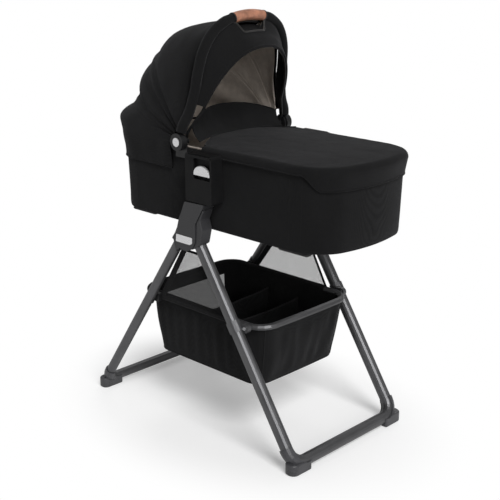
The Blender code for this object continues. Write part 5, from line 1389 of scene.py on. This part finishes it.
def stage():
    """Floor, lamps, sky and camera."""
    scene = bpy.context.scene
    scene.view_settings.view_transform = "Standard"
    world = bpy.data.worlds.new("studio")
    scene.world = world
    world.use_nodes = True
    nodes, links = world.node_tree.nodes, world.node_tree.links
    nodes.clear()
    out = nodes.new("ShaderNodeOutputWorld")
    white = (1.0, 1.0, 1.0, 1.0)
    seen = set_sockets(nodes.new("ShaderNodeBackground"), Color=white, Strength=1.0)
    light = set_sockets(nodes.new("ShaderNodeBackground"), Color=white, Strength=SKY_STRENGTH)
    mix = mixed_by(nodes, links, seen_directly(nodes, links), light, seen)
    links.new(mix.outputs[0], out.inputs["Surface"])

    floor_mesh = bpy.data.meshes.new("floor")
    floor_mesh.from_pydata([(FLOOR_REACH * x, FLOOR_REACH * y, 0.0) for x, y in ((-1, -1), (1, -1), (1, 1), (-1, 1))],
                           [], [(0, 1, 2, 3)])
    floor = bpy.data.objects.new("floor", floor_mesh)
    floor.location.z = -FLOOR_DROP
    scene.collection.objects.link(floor)
    floor_mesh.materials.append(floor_surface())

    for lamp in LAMPS:
        add_sun(*lamp)

    camera_data = bpy.data.cameras.new("photo_camera")
    camera_data.sensor_width = 36.0
    camera_data.lens = CAMERA_LENS
    camera_data.clip_end = 100.0
    camera = bpy.data.objects.new("photo_camera", camera_data)
    camera.location = CAMERA_AT
    camera.rotation_euler = (math.radians(90.0 - CAMERA_PITCH), 0.0, math.radians(CAMERA_TURN))
    scene.collection.objects.link(camera)
    scene.camera = camera


def add_sun(name, turn, strength, size):
    """A broad distant lamp, turned by angles in degrees from pointing straight down."""
    data = bpy.data.lights.new(name, "SUN")
    data.energy = strength
    data.angle = math.radians(size)
    lamp = bpy.data.objects.new(name, data)
    lamp.rotation_euler = tuple(math.radians(a) for a in turn)
    bpy.context.scene.collection.objects.link(lamp)


def floor_surface():
    """A pale floor that keeps the shadow near the object and is white beyond it."""
    floor = Surface("pale_floor", grey(0.82), 0.9)
    nodes, links = floor.nodes, floor.links
    set_sockets(floor.shader, Specular_IOR_Level=0.1)
    floor.vary("Base Color", floor.noise(40.0, 3.0, 0.5), grey(0.815), grey(0.825), 0.0, 1.0)
    length = nodes.new("ShaderNodeVectorMath")
    length.operation = "LENGTH"
    links.new(floor.stretched((1.0 / SHADOW_HALF_X, 1.0 / SHADOW_HALF_Y, 0.0)), length.inputs[0])
    far = set_sockets(nodes.new("ShaderNodeMapRange"), From_Min=SHADOW_FADE[0], From_Max=SHADOW_FADE[1])
    far.interpolation_type = "SMOOTHSTEP"
    links.new(length.outputs["Value"], far.inputs["Value"])
    white = set_sockets(nodes.new("ShaderNodeEmission"), Strength=1.0)
    extra = set_sockets(nodes.new("ShaderNodeEmission"), Strength=FLOOR_GLOW)
    added = nodes.new("ShaderNodeAddShader")
    links.new(floor.shader.outputs[0], added.inputs[0])
    links.new(extra.outputs[0], added.inputs[1])
    mix = mixed_by(nodes, links, far.outputs["Result"], added, white)
    seen = mixed_by(nodes, links, seen_directly(nodes, links), floor.shader, mix)
    links.new(seen.outputs[0], nodes["Material Output"].inputs["Surface"])
    return floor.made


def seen_directly(nodes, links):
    """1 for rays from the camera, also through a net, and 0 for the light that falls on things."""
    path = nodes.new("ShaderNodeLightPath")
    return maths(nodes, links, "MAXIMUM", path.outputs["Is Camera Ray"], path.outputs["Is Transmission Ray"])


def mixed_by(nodes, links, factor, first, second):
    """A mix of two shaders, the second one as the factor nears 1."""
    mix = nodes.new("ShaderNodeMixShader")
    for source, socket in zip((factor, first.outputs[0], second.outputs[0]), mix.inputs):
        links.new(source, socket)
    return mix


class BASSINET_OT_rigid(bpy.types.Operator):
    """Paint, plastic and bright trim on the frame's own pieces"""
    bl_idname = "bassinet.rigid"
    bl_label = "Frame finishes"

    def execute(self, context):
        rigid_parts()
        return {"FINISHED"}


class BASSINET_OT_nets(bpy.types.Operator):
    """Net panels between the legs"""
    bl_idname = "bassinet.nets"
    bl_label = "Side nets"

    def execute(self, context):
        side_nets()
        return {"FINISHED"}


class BASSINET_OT_cot(bpy.types.Operator):
    """Outer cover, lining and mattress of the cot"""
    bl_idname = "bassinet.cot"
    bl_label = "Cot"

    def execute(self, context):
        cot_cover()
        cot_inside()
        return {"FINISHED"}


class BASSINET_OT_foot_cover(bpy.types.Operator):
    """Foot cover and the flap that stands on it"""
    bl_idname = "bassinet.foot_cover"
    bl_label = "Foot cover"

    def execute(self, context):
        foot_cover()
        wind_flap()
        return {"FINISHED"}


class BASSINET_OT_hood(bpy.types.Operator):
    """Hood cloth, lining and peak"""
    bl_idname = "bassinet.hood"
    bl_label = "Hood"

    def execute(self, context):
        hood()
        visor()
        return {"FINISHED"}


class BASSINET_OT_handle(bpy.types.Operator):
    """Sleeve and leather grip of the carry handle"""
    bl_idname = "bassinet.handle"
    bl_label = "Carry handle"

    def execute(self, context):
        handle()
        return {"FINISHED"}


class BASSINET_OT_basket(bpy.types.Operator):
    """Storage bag and its dividers"""
    bl_idname = "bassinet.basket"
    bl_label = "Basket"

    def execute(self, context):
        basket()
        return {"FINISHED"}


class BASSINET_OT_stage(bpy.types.Operator):
    """Floor, lamps and camera"""
    bl_idname = "bassinet.stage"
    bl_label = "Stage"

    def execute(self, context):
        stage()
        return {"FINISHED"}


OPERATORS = (
    BASSINET_OT_rigid, BASSINET_OT_nets, BASSINET_OT_basket, BASSINET_OT_cot, BASSINET_OT_foot_cover,
    BASSINET_OT_hood, BASSINET_OT_handle, BASSINET_OT_stage,
)


class BASSINET_PT_panel(bpy.types.Panel):
    bl_idname = "BASSINET_PT_panel"
    bl_label = "Bassinet"
    bl_space_type = "VIEW_3D"
    bl_region_type = "UI"
    bl_category = "Bassinet"

    def draw(self, context):
        column = self.layout.column()
        for name in BassinetLooks.__annotations__:
            column.prop(context.scene.bassinet_looks, name)
        for operator in OPERATORS:
            column.operator(operator.bl_idname)


CLASSES = (BassinetLooks, *OPERATORS, BASSINET_PT_panel)


def register():
    for item in CLASSES:
        bpy.utils.register_class(item)
    bpy.types.Scene.bassinet_looks = PointerProperty(type=BassinetLooks)


def unregister():
    del bpy.types.Scene.bassinet_looks
    for item in reversed(CLASSES):
        bpy.utils.unregister_class(item)


def main():
    register()
    for operator in OPERATORS:
        group, name = operator.bl_idname.split(".")
        getattr(getattr(bpy.ops, group), name)()


if __name__ == "__main__":
    main()
